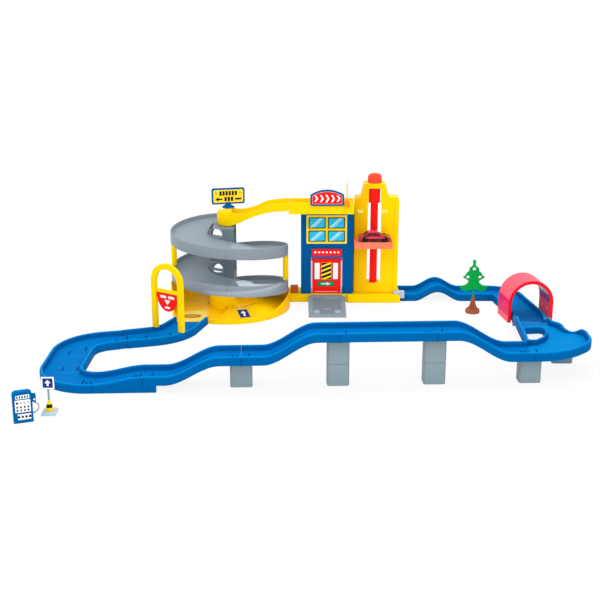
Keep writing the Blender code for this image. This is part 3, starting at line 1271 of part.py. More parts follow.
def make_front_roads():
    """The riser, the two climbing roads, the flat one and the descending one along the front."""
    roads = (("road_riser", 0, RISER_HEIGHT, 8), ("road_climb_1", RISER_HEIGHT, LEVEL_ONE, STRAIGHT_STEPS),
             ("road_climb_2", LEVEL_ONE, LEVEL_TWO, STRAIGHT_STEPS), ("road_flat", LEVEL_TWO, LEVEL_TWO, 1),
             ("road_descent", LEVEL_TWO, LEVEL_ONE, STRAIGHT_STEPS))

    for number, (name, low, high, steps) in enumerate(roads):
        start = FRONT_JOINTS[number] + GAP
        end = FRONT_JOINTS[number + 1]
        shares = [k / steps for k in range(steps + 1)]
        drop = None
        foot = climb(low, high)
        if name == "road_riser":
            def foot(distance, total):
                return RISER_HEIGHT * eased(distance / total)
            drop = foot
        if name == "road_climb_1":
            apron_share = RISER_APRON / STRAIGHT_LENGTH
            shares = sorted(shares + [apron_share, apron_share + GAP / STRAIGHT_LENGTH * 2])

            def drop(distance, total):
                is_apron = distance < RISER_APRON + GAP
                return climb(RISER_HEIGHT, LEVEL_ONE)(distance, total) if is_apron else 0
        points = [front_point(start + (end - start) * share) for share in shares]
        make_road(name, points, foot, drop=drop)


def make_ground_roads():
    """The gate road from the spout, and the wide left curve that leads to the front."""
    start = (SPOUT_X, SPOUT_END_Y - GAP)
    corners = [(start[0] + x * ROAD_WIDTH, start[1] + y * ROAD_WIDTH) for x, y in GATE_ROAD_SHARES]
    route = filleted(corners, GATE_ROAD_FILLET, 8, is_closed=False)
    leave = Vector(corners[2]) - Vector(corners[1])
    turn = math.atan2(leave.y, leave.x)
    width = SPOUT_LEFT - SPOUT_RIGHT
    make_road("road_gate", route, flat_foot, width=width, bulge=GATE_ROAD_BULGE, ends=(-math.pi / 2, turn))

    along = leave.normalized()
    join_point = Vector(corners[2]) + along * GAP
    far = (join_point.x + LEFT_CURVE_SHARES[0][0] * ROAD_WIDTH,
           join_point.y + LEFT_CURVE_SHARES[0][1] * ROAD_WIDTH)
    near = (FRONT_ROAD_X + LEFT_CURVE_SHARES[1][0] * ROAD_WIDTH,
            FRONT_ROAD_Y - math.tan(FRONT_ROAD_TURN) * ROAD_WIDTH)
    bends = [tuple(join_point), far, near, (FRONT_ROAD_X, FRONT_ROAD_Y)]
    curve = filleted(bends, [0, *LEFT_CURVE_FILLETS, 0], 9, is_closed=False)
    make_road("road_left_curve", curve, flat_foot, bulge=CURVE_WIDTH - ROAD_WIDTH,
              ends=(turn, FRONT_ROAD_TURN))


def turnout_outline():
    """The plan of the turnout, anticlockwise, from its joint with the front road."""
    last = FRONT_JOINTS[-1] + GAP
    near = front_point(last, -ROAD_WIDTH / 2)
    far = front_point(last, ROAD_WIDTH / 2)
    origin = front_point(last)
    side = [(origin[0] + x * ROAD_WIDTH, origin[1] + y * ROAD_WIDTH) for x, y in TURNOUT_SIDE_SHARES]
    back_y = origin[1] + TURNOUT_DEPTH
    mouth_x = origin[0] + TURNOUT_OFFSET
    corners = [near] + side + [(mouth_x + ROAD_WIDTH / 2, back_y), (mouth_x - ROAD_WIDTH / 2, back_y), far]
    return corners, origin, mouth_x, back_y


def make_turnout():
    """The turnout plate at the right end of the front roads, with a rim, an island and a notch."""
    corners, origin, mouth_x, back_y = turnout_outline()
    outline = filleted(corners, list(TURNOUT_FILLETS), 6)
    turnout = prism("road_turnout", outline, LEVEL_ONE, LEVEL_ONE + ROAD_HEIGHT)
    floor = LEVEL_ONE + ROAD_FLOOR
    last = FRONT_JOINTS[-1] + GAP
    for name, margin, low, high in (("lane", ROAD_WALL, floor, LEVEL_ONE + ROAD_HEIGHT + OVERRUN),
                                    ("pocket", ROAD_SKIRT, LEVEL_ONE - OVERRUN, floor - ROAD_SHEET)):
        side = ROAD_WIDTH / 2 - margin
        reach = margin * 2
        gate = [front_point(last - OVERRUN, -side), front_point(last + reach, -side),
                front_point(last + reach, side), front_point(last - OVERRUN, side)]
        mouth = rectangle(mouth_x - side, mouth_x + side, back_y - reach, back_y + OVERRUN)
        cut(turnout, prism(f"turnout_{name}", inset(outline, margin), low, high),
            prism(f"turnout_{name}_gate", gate, low, high),
            prism(f"turnout_{name}_mouth", mouth, low, high))
    island = [(origin[0] + x * ROAD_WIDTH, origin[1] + y * ROAD_WIDTH) for x, y in ISLAND_SHARES]
    island_outline = filleted(island, ISLAND_CORNER, 3)
    join(turnout, prism("turnout_island", island_outline, LEVEL_ONE + OVERRUN,
                        LEVEL_ONE + ROAD_HEIGHT - GAP))
    cut(turnout, prism("turnout_hole", inset(island_outline, ROAD_SKIRT), LEVEL_ONE - OVERRUN,
                       LEVEL_ONE + ROAD_HEIGHT + OVERRUN))
    first = Vector(corners[3])
    second = Vector(corners[4])
    middle = second + (first - second) * NOTCH_SHARE
    slant = second - first
    notch = block("turnout_notch", middle.x - NOTCH_WIDTH / 2, middle.x + NOTCH_WIDTH / 2,
                  middle.y - ROAD_WALL * 2,
                  middle.y + ROAD_WALL * 2, LEVEL_ONE + NOTCH_FLOOR, LEVEL_ONE + ROAD_HEIGHT + OVERRUN)
    cut(turnout, turned_in_plan(notch, middle.x, middle.y, math.atan2(slant.y, slant.x)))
    painted(smooth(turnout), ROAD_BLUE)
    return mouth_x, back_y


def tunnel_road_bends(mouth_x, back_y):
    """The two plan points that the tunnel road bends at on its way to the garage."""
    aside, along = TUNNEL_ROAD_BEND
    return (mouth_x + aside, back_y + along), (HUMP_ROAD_RIGHT + TUNNEL_ROAD_REACH, HUMP_ROAD_Y)


def make_back_roads(mouth_x, back_y):
    """The road down through the tunnel and round the corner, and the road with a hump to the garage."""
    start = (mouth_x, back_y + GAP)
    end = (HUMP_ROAD_RIGHT + GAP, HUMP_ROAD_Y)
    corners = [start, *tunnel_road_bends(mouth_x, back_y), end]
    first_bend = filleted(corners, [0, *TUNNEL_ROAD_FILLETS, 0], 8, is_closed=False)
    direction = (Vector(corners[1]) - Vector(start)).normalized()
    slope_steps = 10
    stride = direction * TUNNEL_ROAD_SLOPE / slope_steps
    slope = [tuple(Vector(start) + stride * k) for k in range(slope_steps + 1)]

    def foot(distance, total):
        return LEVEL_ONE * (1 - eased(distance / TUNNEL_ROAD_SLOPE))

    make_road("road_tunnel", slope + first_bend[1:], foot, ends=(math.pi / 2, math.pi))

    def hump(distance, total):
        offset = abs(distance - total * (1 - HUMP_CENTRE_SHARE)) / HUMP_HALF_LENGTH
        return HUMP_RISE * (1 + math.cos(math.pi * offset)) / 2 if offset < 1 else 0

    steps = 24
    run = [(HUMP_ROAD_RIGHT - HUMP_ROAD_LENGTH * k / steps, HUMP_ROAD_Y) for k in range(steps + 1)]
    make_road("road_hump", run, hump)

    top = BUILDING_FOOT + CLIP_HEIGHT
    foot_height = BUILDING_FOOT - CLIP_DROP
    outer = BASE_RIGHT + CLIP_OVERLAP
    leg = BASE_RIGHT + GAP
    back = -TOWER_FRONT - FLANGE_PROUD - GAP
    side = [(outer - CLIP_LENGTH, BUILDING_FOOT), (leg, BUILDING_FOOT), (leg, foot_height),
            (outer, foot_height),
            (outer, top), (outer - CLIP_LENGTH, top)]
    clip = prism("road_connector", side, back - CLIP_WIDTH, back, "Y")
    painted(clip, PALE_BLUE)


def make_pillar(name, place, foot, neck=PILLAR_NECK):
    """One hollow pillar block with its neck. Place turns lengths along and across into a plan point."""
    half_length = PILLAR_LENGTH / 2
    half_depth = PILLAR_DEPTH / 2
    top = foot + PILLAR_BODY
    neck_top = top + neck
    hollow = PILLAR_INSET + PLASTIC_WALL
    socket = foot + PILLAR_NECK + PLASTIC_WALL
    steps = ((hollow, neck_top - PLASTIC_WALL), (hollow, socket), (PLASTIC_WALL, socket),
             (PLASTIC_WALL, foot), (0, foot), (0, top), (PILLAR_INSET, top), (PILLAR_INSET, neck_top))
    rings = []
    for margin, level in steps:
        sides = rectangle(margin - half_length, half_length - margin, margin - half_depth,
                          half_depth - margin)
        ring = filleted(sides, PILLAR_CORNER, 3)
        rings.append([Vector((*place(along, across), level)) for along, across in ring])
    painted(lofted(name, rings), BLOCK_GREY)


def make_pillars():
    """The grey pillars under the joints of the raised roads, two of them stacked in pairs."""
    stacks = (("pillar_1",), ("pillar_2_lower", "pillar_2_upper"), ("pillar_3_lower", "pillar_3_upper"),
              ("pillar_4",))
    for number, names in enumerate(stacks, 2):
        joint = FRONT_JOINTS[number]

        def place(along, across):
            return front_point(joint + along, across)

        for level, name in enumerate(names):
            make_pillar(name, place, level * (PILLAR_BODY + GAP))
    corners, origin, mouth_x, back_y = turnout_outline()
    x = origin[0] + END_PILLAR_SHARES[0] * ROAD_WIDTH
    y = origin[1] + END_PILLAR_SHARES[1] * ROAD_WIDTH

    def end_place(along, across):
        return (x + along, y + across)

    make_pillar("pillar_5", end_place, 0, LEVEL_ONE - PILLAR_BODY - GAP)


def make_gate():
    """The yellow arch over the gate road, with its crossbar and the red half-round sign below it."""
    corners = [(SPOUT_X + x * ROAD_WIDTH, SPOUT_END_Y + y * ROAD_WIDTH) for x, y in GATE_ROAD_SHARES]
    route = filleted(corners, GATE_ROAD_FILLET, 8, is_closed=False)
    middle = Vector(route[len(route) // 2])
    foot = ROAD_HEIGHT + GAP
    half = GATE_HALF_SPAN
    bar = GATE_BAR / 2
    straight = GATE_TOP - half - bar
    outer = ([(half + bar, foot)] + arc(0, straight, half + bar, 0, math.pi, 14) + [(-half - bar, foot)])
    inner = ([(-half + bar, foot)] + arc(0, straight, half - bar, math.pi, 0, 14) + [(half - bar, foot)])
    outline = [(middle.x + across, up) for across, up in outer + inner]
    gate = prism("gate_arch", outline, middle.y - GATE_DEPTH / 2, middle.y + GATE_DEPTH / 2, "Y")
    crossbar = block("gate_crossbar", middle.x - half, middle.x + half, middle.y - GATE_DEPTH / 4,
                     middle.y + GATE_DEPTH / 4, GATE_CROSSBAR_TOP - GATE_CROSSBAR, GATE_CROSSBAR_TOP)
    join(gate, crossbar)
    turned_in_plan(gate, middle.x, middle.y, GATE_TURN)
    turned_in_plan(crossbar, middle.x, middle.y, GATE_TURN)
    painted(smooth(gate), YELLOW)

    sign_half = half - bar - GAP
    sign_top = GATE_CROSSBAR_TOP - GATE_CROSSBAR - GAP
    outline = [(middle.x + sign_half * math.cos(turn), sign_top + GATE_SIGN_DROP * math.sin(turn))
               for turn in (math.pi + math.pi * k / 14 for k in range(15))]
    sign = prism("gate_sign", outline, middle.y - GATE_SIGN_THICKNESS / 2,
                 middle.y + GATE_SIGN_THICKNESS / 2, "Y")
    painted(turned_in_plan(sign, middle.x, middle.y, GATE_TURN), RED)


def make_tunnel(mouth_x, back_y):
    """The pink-red tunnel arch over the back road, with two round holes in its right wall."""
    near_bend, far_bend = [Vector(bend) for bend in tunnel_road_bends(mouth_x, back_y)]
    middle_y = TUNNEL_FRONT_Y + TUNNEL_DEPTH / 2
    run = far_bend - near_bend
    x = near_bend.x + run.x * (middle_y - near_bend.y) / run.y
    turn = -math.atan2(run.x, run.y)
    inner = TUNNEL_OUTER - TUNNEL_WALL
    outline = ([(TUNNEL_OUTER, 0)] + arc(0, TUNNEL_LEG, TUNNEL_OUTER, 0, math.pi,
                                         16) + [(-TUNNEL_OUTER, 0), (-inner, 0)]
               + arc(0, TUNNEL_LEG, inner, math.pi, 0, 16) + [(inner, 0)])
    tunnel = prism("tunnel", [(x + across, up) for across, up in outline], middle_y - TUNNEL_DEPTH / 2,
                   middle_y + TUNNEL_DEPTH / 2, "Y")
    turned_in_plan(tunnel, x, middle_y, turn)
    for name, side in (("near", -1), ("far", 1)):
        hole = rod(f"tunnel_hole_{name}", TUNNEL_HOLE_RADIUS, inner - OVERRUN, TUNNEL_OUTER + OVERRUN,
                   (x, middle_y + side * TUNNEL_HOLE_SPACING / 2, TUNNEL_HOLE_HEIGHT), "X")
        cut(tunnel, turned_in_plan(hole, x, middle_y, turn))
    painted(smooth(tunnel), PINK_RED)


def make_tree():
    """The tree: a flat green crown in three tiers, standing in a brown trunk with a foot."""
    crown_height = TREE_HEIGHT - TREE_STEM
    right = [(TREE_X + across * TREE_WIDTH, TREE_STEM + up * crown_height) for across, up in TREE_SHARES]
    left = [(TREE_X - across * TREE_WIDTH, TREE_STEM + up * crown_height) for across,
            up in TREE_SHARES[:-1]]
    half = TREE_THICKNESS / 2
    crown = prism("tree_crown", right + left[::-1], TREE_Y - half, TREE_Y + half, "Y")
    for k, (across, up) in enumerate(TREE_HOLE_SHARES):
        centre = (TREE_X + across * TREE_WIDTH, TREE_Y, TREE_STEM + up * crown_height)
        cut(crown, rod(f"tree_hole_{k}", TREE_HOLE_RADIUS, -half - OVERRUN, half + OVERRUN, centre, "Y"))
    painted(crown, GREEN)
    foot_half = TRUNK_FOOT_WIDTH / 2
    profile = [(0, 0), (foot_half, 0), (foot_half, TRUNK_FOOT_HEIGHT / 2),
               (TRUNK_RADIUS * 2, TRUNK_FOOT_HEIGHT),
               (TRUNK_RADIUS, TRUNK_FOOT_HEIGHT + TRUNK_RADIUS), (TRUNK_RADIUS, TREE_STEM - GAP),
               (0, TREE_STEM - GAP)]
    painted(smooth(turned("tree_trunk", profile, (TREE_X, TREE_Y, 0), sides=16)), BROWN)


def make_pump():
    """The toy pump: a flat upright block with a nozzle at its side and a moulded loop of hose."""
    half = PUMP_WIDTH / 2
    depth = PUMP_DEPTH / 2
    outline = filleted(rectangle(PUMP_X - half, PUMP_X + half, 0, PUMP_HEIGHT),
                       [0, 0, PUMP_CORNER, PUMP_CORNER], 3)
    body = prism("pump_body", outline, PUMP_Y - depth, PUMP_Y + depth, "Y")
    painted(turned_in_plan(body, PUMP_X, PUMP_Y, PUMP_TURN), ROAD_BLUE)
    nozzle_left = PUMP_X + half + GAP
    nozzle = block("pump_nozzle", nozzle_left, nozzle_left + NOZZLE_WIDTH, PUMP_Y - NOZZLE_WIDTH / 2,
                   PUMP_Y + NOZZLE_WIDTH / 2, NOZZLE_FOOT, NOZZLE_FOOT + NOZZLE_HEIGHT)
    painted(turned_in_plan(nozzle, PUMP_X, PUMP_Y, PUMP_TURN), ROAD_BLUE)
    start = Vector((nozzle_left + NOZZLE_WIDTH / 2, PUMP_Y, NOZZLE_FOOT - HOSE_RADIUS - 2 * GAP))
    end = Vector((nozzle_left, PUMP_Y, HOSE_END))
    middle_up = (start.z + end.z) / 2
    drop = (start.z - end.z) / 2
    line = bpy.data.curves.new("pump_hose", "CURVE")
    line.dimensions = "3D"
    line.bevel_depth = HOSE_RADIUS
    line.bevel_resolution = 1
    line.use_fill_caps = True
    spline = line.splines.new("POLY")
    spline.points.add(HOSE_STEPS)
    turn = Matrix.Translation((PUMP_X, PUMP_Y, 0)) @ Matrix.Rotation(PUMP_TURN, 4, "Z")
    for k in range(HOSE_STEPS + 1):
        swing = math.pi * k / HOSE_STEPS
        x = start.x + (end.x - start.x) * k / HOSE_STEPS + HOSE_REACH * math.sin(swing)
        point = turn @ Vector((x - PUMP_X, 0, middle_up + drop * math.cos(swing)))
        spline.points[k].co = (*point, 1)
    hose = bpy.data.objects.new("pump_hose", line)
    bpy.context.collection.objects.link(hose)
    painted(hose, BLOCK_GREY)


def make_parking_sign():
    """The small standing sign: a flat foot, a post with a cone and a square plate."""
    half = SIGN_BASE_WIDTH / 2
    base = topped("parking_sign_base", rectangle(SIGN_X - half, SIGN_X + half, SIGN_Y - SIGN_BASE_DEPTH / 2,
                                                 SIGN_Y + SIGN_BASE_DEPTH / 2), 0, SIGN_BASE_HEIGHT,
                                                 SIGN_BASE_EDGE)
    painted(base, PALE_BLUE)
    foot = SIGN_BASE_HEIGHT + GAP
    top = SIGN_PLATE_FOOT - GAP
    profile = [(0, foot), (SIGN_CONE_RADIUS, foot), (SIGN_POST_RADIUS, SIGN_CONE_TOP),
               (SIGN_POST_RADIUS, top), (0, top)]
    painted(smooth(turned("parking_sign_post", profile, (SIGN_X, SIGN_Y, 0), sides=16)), BLACK)
    plate_half = SIGN_PLATE / 2
    plate = prism("parking_sign_plate", rectangle(SIGN_X - plate_half, SIGN_X + plate_half, SIGN_PLATE_FOOT,
                                                  SIGN_PLATE_FOOT + SIGN_PLATE),
                  SIGN_Y - SIGN_PLATE_THICKNESS / 2, SIGN_Y + SIGN_PLATE_THICKNESS / 2, "Y")
    painted(plate, ROAD_BLUE)


def main():
    clear_scene()
    make_base()
    make_tower()
    make_spindle()
    platform = make_platform()
    car_body, wheel_sets = make_car(platform)
    for wheels in wheel_sets:
        carried(wheels, car_body)
    make_building()
    make_front_trim()
    make_exit_ramp()
    make_deck()
    make_chute()
    make_roof_sign()
    make_barrier()
    make_ramps()
    make_columns()
    make_posts()
    make_tray()
    make_ground_roads()
    make_front_roads()
    mouth_x, back_y = make_turnout()
    make_back_roads(mouth_x, back_y)
    make_pillars()
    make_gate()
    make_tunnel(mouth_x, back_y)
    make_tree()
    make_pump()
    make_parking_sign()


main()
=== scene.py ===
"""The looks of the toy parking garage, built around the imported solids. Metres, in the part's own frame."""
import json
from math import acos, asin, atan2, cos, hypot, pi, radians, remainder, sin, tan, tau

import bmesh
import bpy
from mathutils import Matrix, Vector


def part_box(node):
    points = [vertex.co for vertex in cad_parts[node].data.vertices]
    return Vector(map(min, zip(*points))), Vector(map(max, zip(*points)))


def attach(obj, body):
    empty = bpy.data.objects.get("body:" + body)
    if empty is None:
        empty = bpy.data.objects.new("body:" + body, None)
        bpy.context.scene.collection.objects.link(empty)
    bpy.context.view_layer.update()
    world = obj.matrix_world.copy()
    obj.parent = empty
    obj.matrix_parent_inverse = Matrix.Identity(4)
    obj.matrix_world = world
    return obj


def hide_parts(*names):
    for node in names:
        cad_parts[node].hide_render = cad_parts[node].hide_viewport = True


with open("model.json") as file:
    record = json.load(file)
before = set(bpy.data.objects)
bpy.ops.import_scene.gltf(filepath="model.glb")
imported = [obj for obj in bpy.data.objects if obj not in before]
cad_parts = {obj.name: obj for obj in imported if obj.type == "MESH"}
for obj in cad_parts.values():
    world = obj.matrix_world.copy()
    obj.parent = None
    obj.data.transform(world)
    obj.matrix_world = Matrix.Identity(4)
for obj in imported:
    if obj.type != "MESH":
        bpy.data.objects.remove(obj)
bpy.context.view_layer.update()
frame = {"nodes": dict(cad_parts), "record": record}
NODES = frame["nodes"]
UP = Vector((0, 0, 1))

# Camera, lamps and paper
CAMERA_PLACE = (-0.1894, -2.8768, 0.9047)
CAMERA_PITCH = radians(72.5)
CAMERA_LENS = 69.24
CAMERA_SENSOR = 36
CAMERA_CLIP = (0.05, 90)
WORLD_LIGHT = 0.92
LAMPS = (("key", "SQUARE", (-2.4, -4.2, 4.4), 2.6, 70), ("fill", "SQUARE", (3.2, -3.8, 3.0), 2.6, 30),
         ("top", "SQUARE", (0.0, 0.6, 4.8), 3.0, 75), ("front", "SQUARE", (0.3, -6.2, 0.9), 2.6, 26),
         ("tray", "DISK", (-0.345, -0.12, 0.082), 0.22, 0.15),
         ("ramp", "DISK", (-0.367, -0.10, 0.178), 0.20, 0.03),
         ("tray_glow", "POINT", (-0.275, -0.13, 0.055), 0.04, 0.10),
         ("ramp_glow_right", "POINT", (-0.285, -0.115, 0.138), 0.02, 0.035),
         ("ramp_glow_left", "POINT", (-0.455, -0.095, 0.150), 0.02, 0.03))
LAMP_AIM = (-0.1, -0.2, 0.1)
FLOOR_REACH = 40.0
FLOOR_DROP = 0.0004
PAPER_SHADE = 0.93
PAPER_NEAR = 0.8
PAPER_FAR = 1.8
PAPER_GLOW = 0.88

# Materials: the scale of the clouds, grain and scuffs, and how thick a print is
CLOUD_SCALE = 16
GRAIN_SCALE = 1500
GRAIN_DEPTH = 0.0003
SCUFF_SCALE = 90
INK_LIFT = 0.00002
PRINT = 0.00018
GAP = 0.0003

# Spiral
SPIRAL_X = -0.367
SPIRAL_Y = -0.056
SPIRAL_RADIUS = 0.148
RAMP_WALL = 0.004
RAMP_SKIRT = 0.028
RAMP_RIM = 0.012
RAMP_FLOOR = 0.003
RAMP_INNER_RIM = 0.005
RAMP_PITCH = 0.094
RAMP_SWING = 0.009
RAMP_SWING_ANGLE = radians(25)
RAMP_LEFT_RIM_HEIGHT = 0.203
RAMP_EASE_SHARE = 0.6
RAMP_ENDS = (radians(96), radians(270), radians(450), radians(630), radians(814))
RAMP_STEPS = 60
COLUMN_RADIUS = 0.055
TRAY_RADIUS = 0.152
TRAY_WALL = 0.0035
TRAY_FLOOR = 0.004
TRAY_STEPS = 96
TRAY_FOOT_LIFT = 0.0005
TRAY_LOW_RIM = 0.012
TRAY_HIGH_RIM = 0.042
TRAY_BACK_RIM = 0.034
TRAY_LEFT_RIM = 0.064
TRAY_RISE_START = radians(300)
SPOUT_LEFT = 0.131
SPOUT_RIGHT = 0.047
SPOUT_END_Y = -0.203
SPOUT_FIN = 0.058
LANE_START = radians(95.5)
LANE_END = radians(186)
LANE_HIGH = 0.0194
LANE_LOW = 0.0046
BANK_COLUMN = 0.0585
BANK_INNER = 0.078
BANK_OUTER = 0.140
BANK_TOP = 0.018
BANK_START = radians(257)
BANK_END = radians(425)
# Painted shade: thin amber sheets on the bank's top near the column, where it lies under the lower ring
BANK_PAINTED_SHADES = ((radians(262), radians(268)), (radians(275), radians(287)),
                 (radians(294), radians(330)))
PAINTED_SHADE_REACH = (0.008, 0.001)
PAINTED_SHADE_LEVELS = (0.0001, 0.0004)
STICKER_CENTRE = (-0.3290, -0.1560)
STICKER_TURN = radians(108)
STICKER_LIFT = 0.0002
STICKER_LABEL = ("navy", -0.0125, 0.0125, -0.0190, 0.0190, 1, 0.0012)
STICKER_ARROW = [(0.0070, 0.0020), (0, 0.0130), (-0.0070, 0.0020)]
STICKER_SHAFT = ("white", -0.0024, 0.0024, -0.0130, 0.0020, 2)
WINDOW_ANGLES = (radians(236), radians(128))
WINDOW_FEET = {"upper": (0.190, 0.172), "lower": (0.102, 0.076)}
WINDOW_WIDTH = 0.034
WINDOW_HEIGHT = 0.024
WINDOW_CORNER = 0.012
WINDOW_RIM = 0.0026
WINDOW_BARS = {"upper": (0.0004, 0.0080), "lower": (0.0040, 0.0110)}
SPOUT_PATCH = [(-0.470, -0.207), (-0.419, -0.176), (-0.424, -0.104), (-0.486, -0.120)]
SPOUT_OVAL = (-0.459, -0.154)
SPOUT_RINGS = (("olive", 0.0245, 0.0140, 1), ("amber", 0.0175, 0.0085, 2))
BOWL_Y = -0.0475
BOWL_RADIUS = 0.0285
BOWL_BULGE = 0.0022
BOWL_FOOT = 0.2152
BOWL_TOP = 0.2499
BOWL_START = radians(158)
BOWL_END = radians(284)
BOWL_WALL = 0.0030
BOWL_CHORD = ((0.008, 0.010), (-0.006, 0.0195))

# Roads
ROAD_WIDTH = 0.080
ROAD_WALL = 0.008
ROAD_SKIRT = 0.006
ROAD_HEIGHT = 0.019
ROAD_FLOOR = 0.006
ROAD_SHEET = 0.003
ROAD_ROUND = 0.0034
STRAIGHT_LENGTH = 0.204
RISER_LENGTH = 0.105
RISER_HEIGHT = 0.015
RISER_APRON = 0.027
LEVEL_ONE = 0.0563
LEVEL_TWO = 0.1048
FLAT_END_SHARE = 0.22
FRONT_ROAD_X = -0.622
FRONT_ROAD_Y = -0.6135
FRONT_ROAD_TURN = radians(2.35)
FRONT_JOINTS = [0] + [RISER_LENGTH + k * STRAIGHT_LENGTH for k in range(5)]
CURVE_BULGE = 0.016
GATE_ROAD_FILLET = 0.090
GATE_ROAD_BULGE = 0.004
GATE_ROAD_SHARES = ((0.0, 0.0), (-0.45, -1.29), (-1.7625, -1.7))
LEFT_CURVE_FILLETS = (0.085, 0.075)
LEFT_CURVE_SHARES = ((-1.2875, -0.4), (-1.05, 0.0))
HUMP_ROAD_LEFT = 0.0693
HUMP_ROAD_LENGTH = 0.2335
HUMP_ROAD_Y = 0.023
HUMP_CENTRE_SHARE = 0.42
HUMP_HALF_LENGTH = 0.061
HUMP_RISE = 0.024
TUNNEL_ROAD_REACH = 0.041
TUNNEL_ROAD_BEND = (0.0335, 0.221)
TUNNEL_ROAD_FILLETS = (0.15, 0.044)
TUNNEL_ROAD_SLOPE = 0.196
TURNOUT_DEPTH = 0.180
TURNOUT_OFFSET = 0.0425
TURNOUT_SIDE_SHARES = ((0.88, -0.46), (1.82, 0.48), (1.82, 1.52), (1.30, 1.66), (1.25, 1.98))
TURNOUT_FILLETS = (0.145, 0.085, 0.030, 0.012, 0.014)
ISLAND_SHARES = ((0.0, 0.54), (0.30, 0.55), (0.57, 0.84), (0.725, 1.17), (0.71, 1.64), (0.53, 1.70),
                 (0.08, 1.64))
ISLAND_CORNER = 0.011
# Painted highlight: a narrow strip of lighter blue along the crown of every road wall
CROWN_HIGHLIGHT_HALF = 0.0010
CROWN_HIGHLIGHT_SUNK = 0.0007
CROWN_HIGHLIGHT_RISE = 0.00022
TURNOUT_STEP = 0.004
NOTCH_SHARE = 0.35
NOTCH_REACH = 0.026
NOTCH_DIP = 0.0095
# Painted highlights: pale lines on the left curve's floor
CURVE_HIGHLIGHT_LINES = ((-0.706, -0.445, -0.655, -0.445, 0.0011), (-0.711, -0.5475, -0.657, -0.5475, 0.0011))
CURVE_SLOTS = ((-0.7105, -0.4249), (-0.7058, -0.5248), (-0.6736, -0.5248), (-0.648, -0.604),
               (-0.612, -0.603), (-0.6173, -0.3431), (-0.5951, -0.3228), (-0.590, -0.612),
               (-0.5514, -0.3157), (-0.4969, -0.2979), (-0.6778, -0.3984))
CURVE_SLOT_WIDE = 0.0021
CURVE_SLOT_DEEP = 0.012
JOINT_SLOTS = ((-0.0205, -0.0155, -0.011, 0.009, 0.0), (-0.0105, -0.0066, -0.009, 0.010, 0.0),
               (0.0112, 0.0150, -0.019, 0.020, 0.005))
JOINT_SEAM = (-0.0009, 0.0009, 0.0006, 0.0158)
SEAM_DEPTH = 0.00025
SLOT_DEPTH = 0.0002
GROOVE_SIDES = (-0.012, 0.0, 0.012)
GROOVE_HALF = 0.0007
GROOVE_START = 0.30
GROOVE_END = 0.66

# Building, tower and car
HOUSE_FRONT = 0.026
WINDOW_FRAME = 0.005
PANE_DEPTH = 0.0008
PANE_LINE = 0.0027
PANEL_EDGE = 0.0017
PANE_BANDS = ((0.08, 0.14), (0.27, 0.06))
PANE_LEAN = 0.58
AWNING_TOOTH = 0.008
AWNING_EDGE = 0.0012
AWNING_ROUND = 0.0075
AWNING_BACKING = 0.0034
AWNING_DOTS = 7
AWNING_DOT_STEP = 0.0098
AWNING_DOT_RADIUS = 0.0027
DOOR_INSET = 0.0008
DOOR_HALF = 0.0386
DOOR_PRINT_TOP = 0.086
DOOR_PANE_FOOT = 0.0366
DOOR_PANE_TOP = 0.0823
DOOR_EDGES = (("pale_pink", 0, 0.0022), ("dark_red", 0.0028, 0.0036))
DOOR_PANES = (("black", "white", -0.0320, -0.0165, 0.0011), ("black", "white", 0.0152, 0.0302, 0.0011),
              ("orange", "yellow", -0.0145, 0.0128, 0.0012))
DOOR_PLATE = ("black", "green", -0.0225, 0.0196, 0.0185, 0.0325, 0.0009)
DOOR_ARROW = ("white", -0.0015, 0.0255, 0.026, 0.0085, 2, 1)
DOOR_FOOT_LINE = ("pale_pink", -0.030, 0.030, 0.0035, 0.0052)
STRIPES = 5
STRIPE_STEP = 0.0116
STRIPE_BAND = 0.0064
STRIPE_RISE = 0.0100
EXIT_RAMP_BACK = 0.043
EXIT_RAMP_HIGH = 0.022
EXIT_RAMP_LOW = 0.002
EXIT_RAMP_DISH = 0.0012
EXIT_RAMP_DISH_BOX = ("dish_grey", -0.0345, 0.0345, 0.0175, 0.1045)
EXIT_RAMP_MARKS = (("bump_grey", -0.0335, -0.0190, 0.0180, 0.0355, 3, 0.002),
                   ("bump_grey", 0.0190, 0.0335, 0.0180, 0.0355, 3, 0.002),
                   ("pale_blue", -0.0085, 0.0085, 0.0400, 0.0432, 0, 0.001),
                   ("pale_blue", -0.0085, 0.0320, 0.0985, 0.1010, 0, 0.001))
DECK_FRONT = 0.076
DECK_SEAMS = (-0.1695, -0.0776)
DECK_SEAM_HALF = 0.0004
DECK_SEAM_ENDS = (0.2465, 0.2725)
TOWER_FRONT = 0.016
TOWER_TAB_HIGHLIGHTS = ((-0.0448, -0.0277), (0.0166, 0.0340))
TAB_TOP = 0.2412
TAB_FOOT = 0.2350
TAB_LEAN = 0.003
TOWER_LINE = (-0.0388, -0.0381, 0.052, 0.230)
TOWER_GAP_SHADE_FOOT = 0.0240
CABIN_FOOT_SHARE = 0.50
CABIN_BASE_SHARES = (0.13, 0.74)
CABIN_ROOF_SHARES = (0.30, 0.56)
CABIN_BASE_INSET = 0.002
CABIN_ROOF_INSET = 0.0062
PANE_SHARES = (0.12, 0.86)
PANE_SIDE = 0.003
PANE_POST = 0.0008
SCREEN_SHARES = (0.14, 0.86)
SCREEN_SIDES = (0.0035, 0.0012)
SILL_SHARES = (0.32, 0.68)
SILL_LEVELS = (0.0012, 0.0050)
STRIPE_REACH = 0.010
STRIPE_LEVELS = (0.0072, 0.0092)

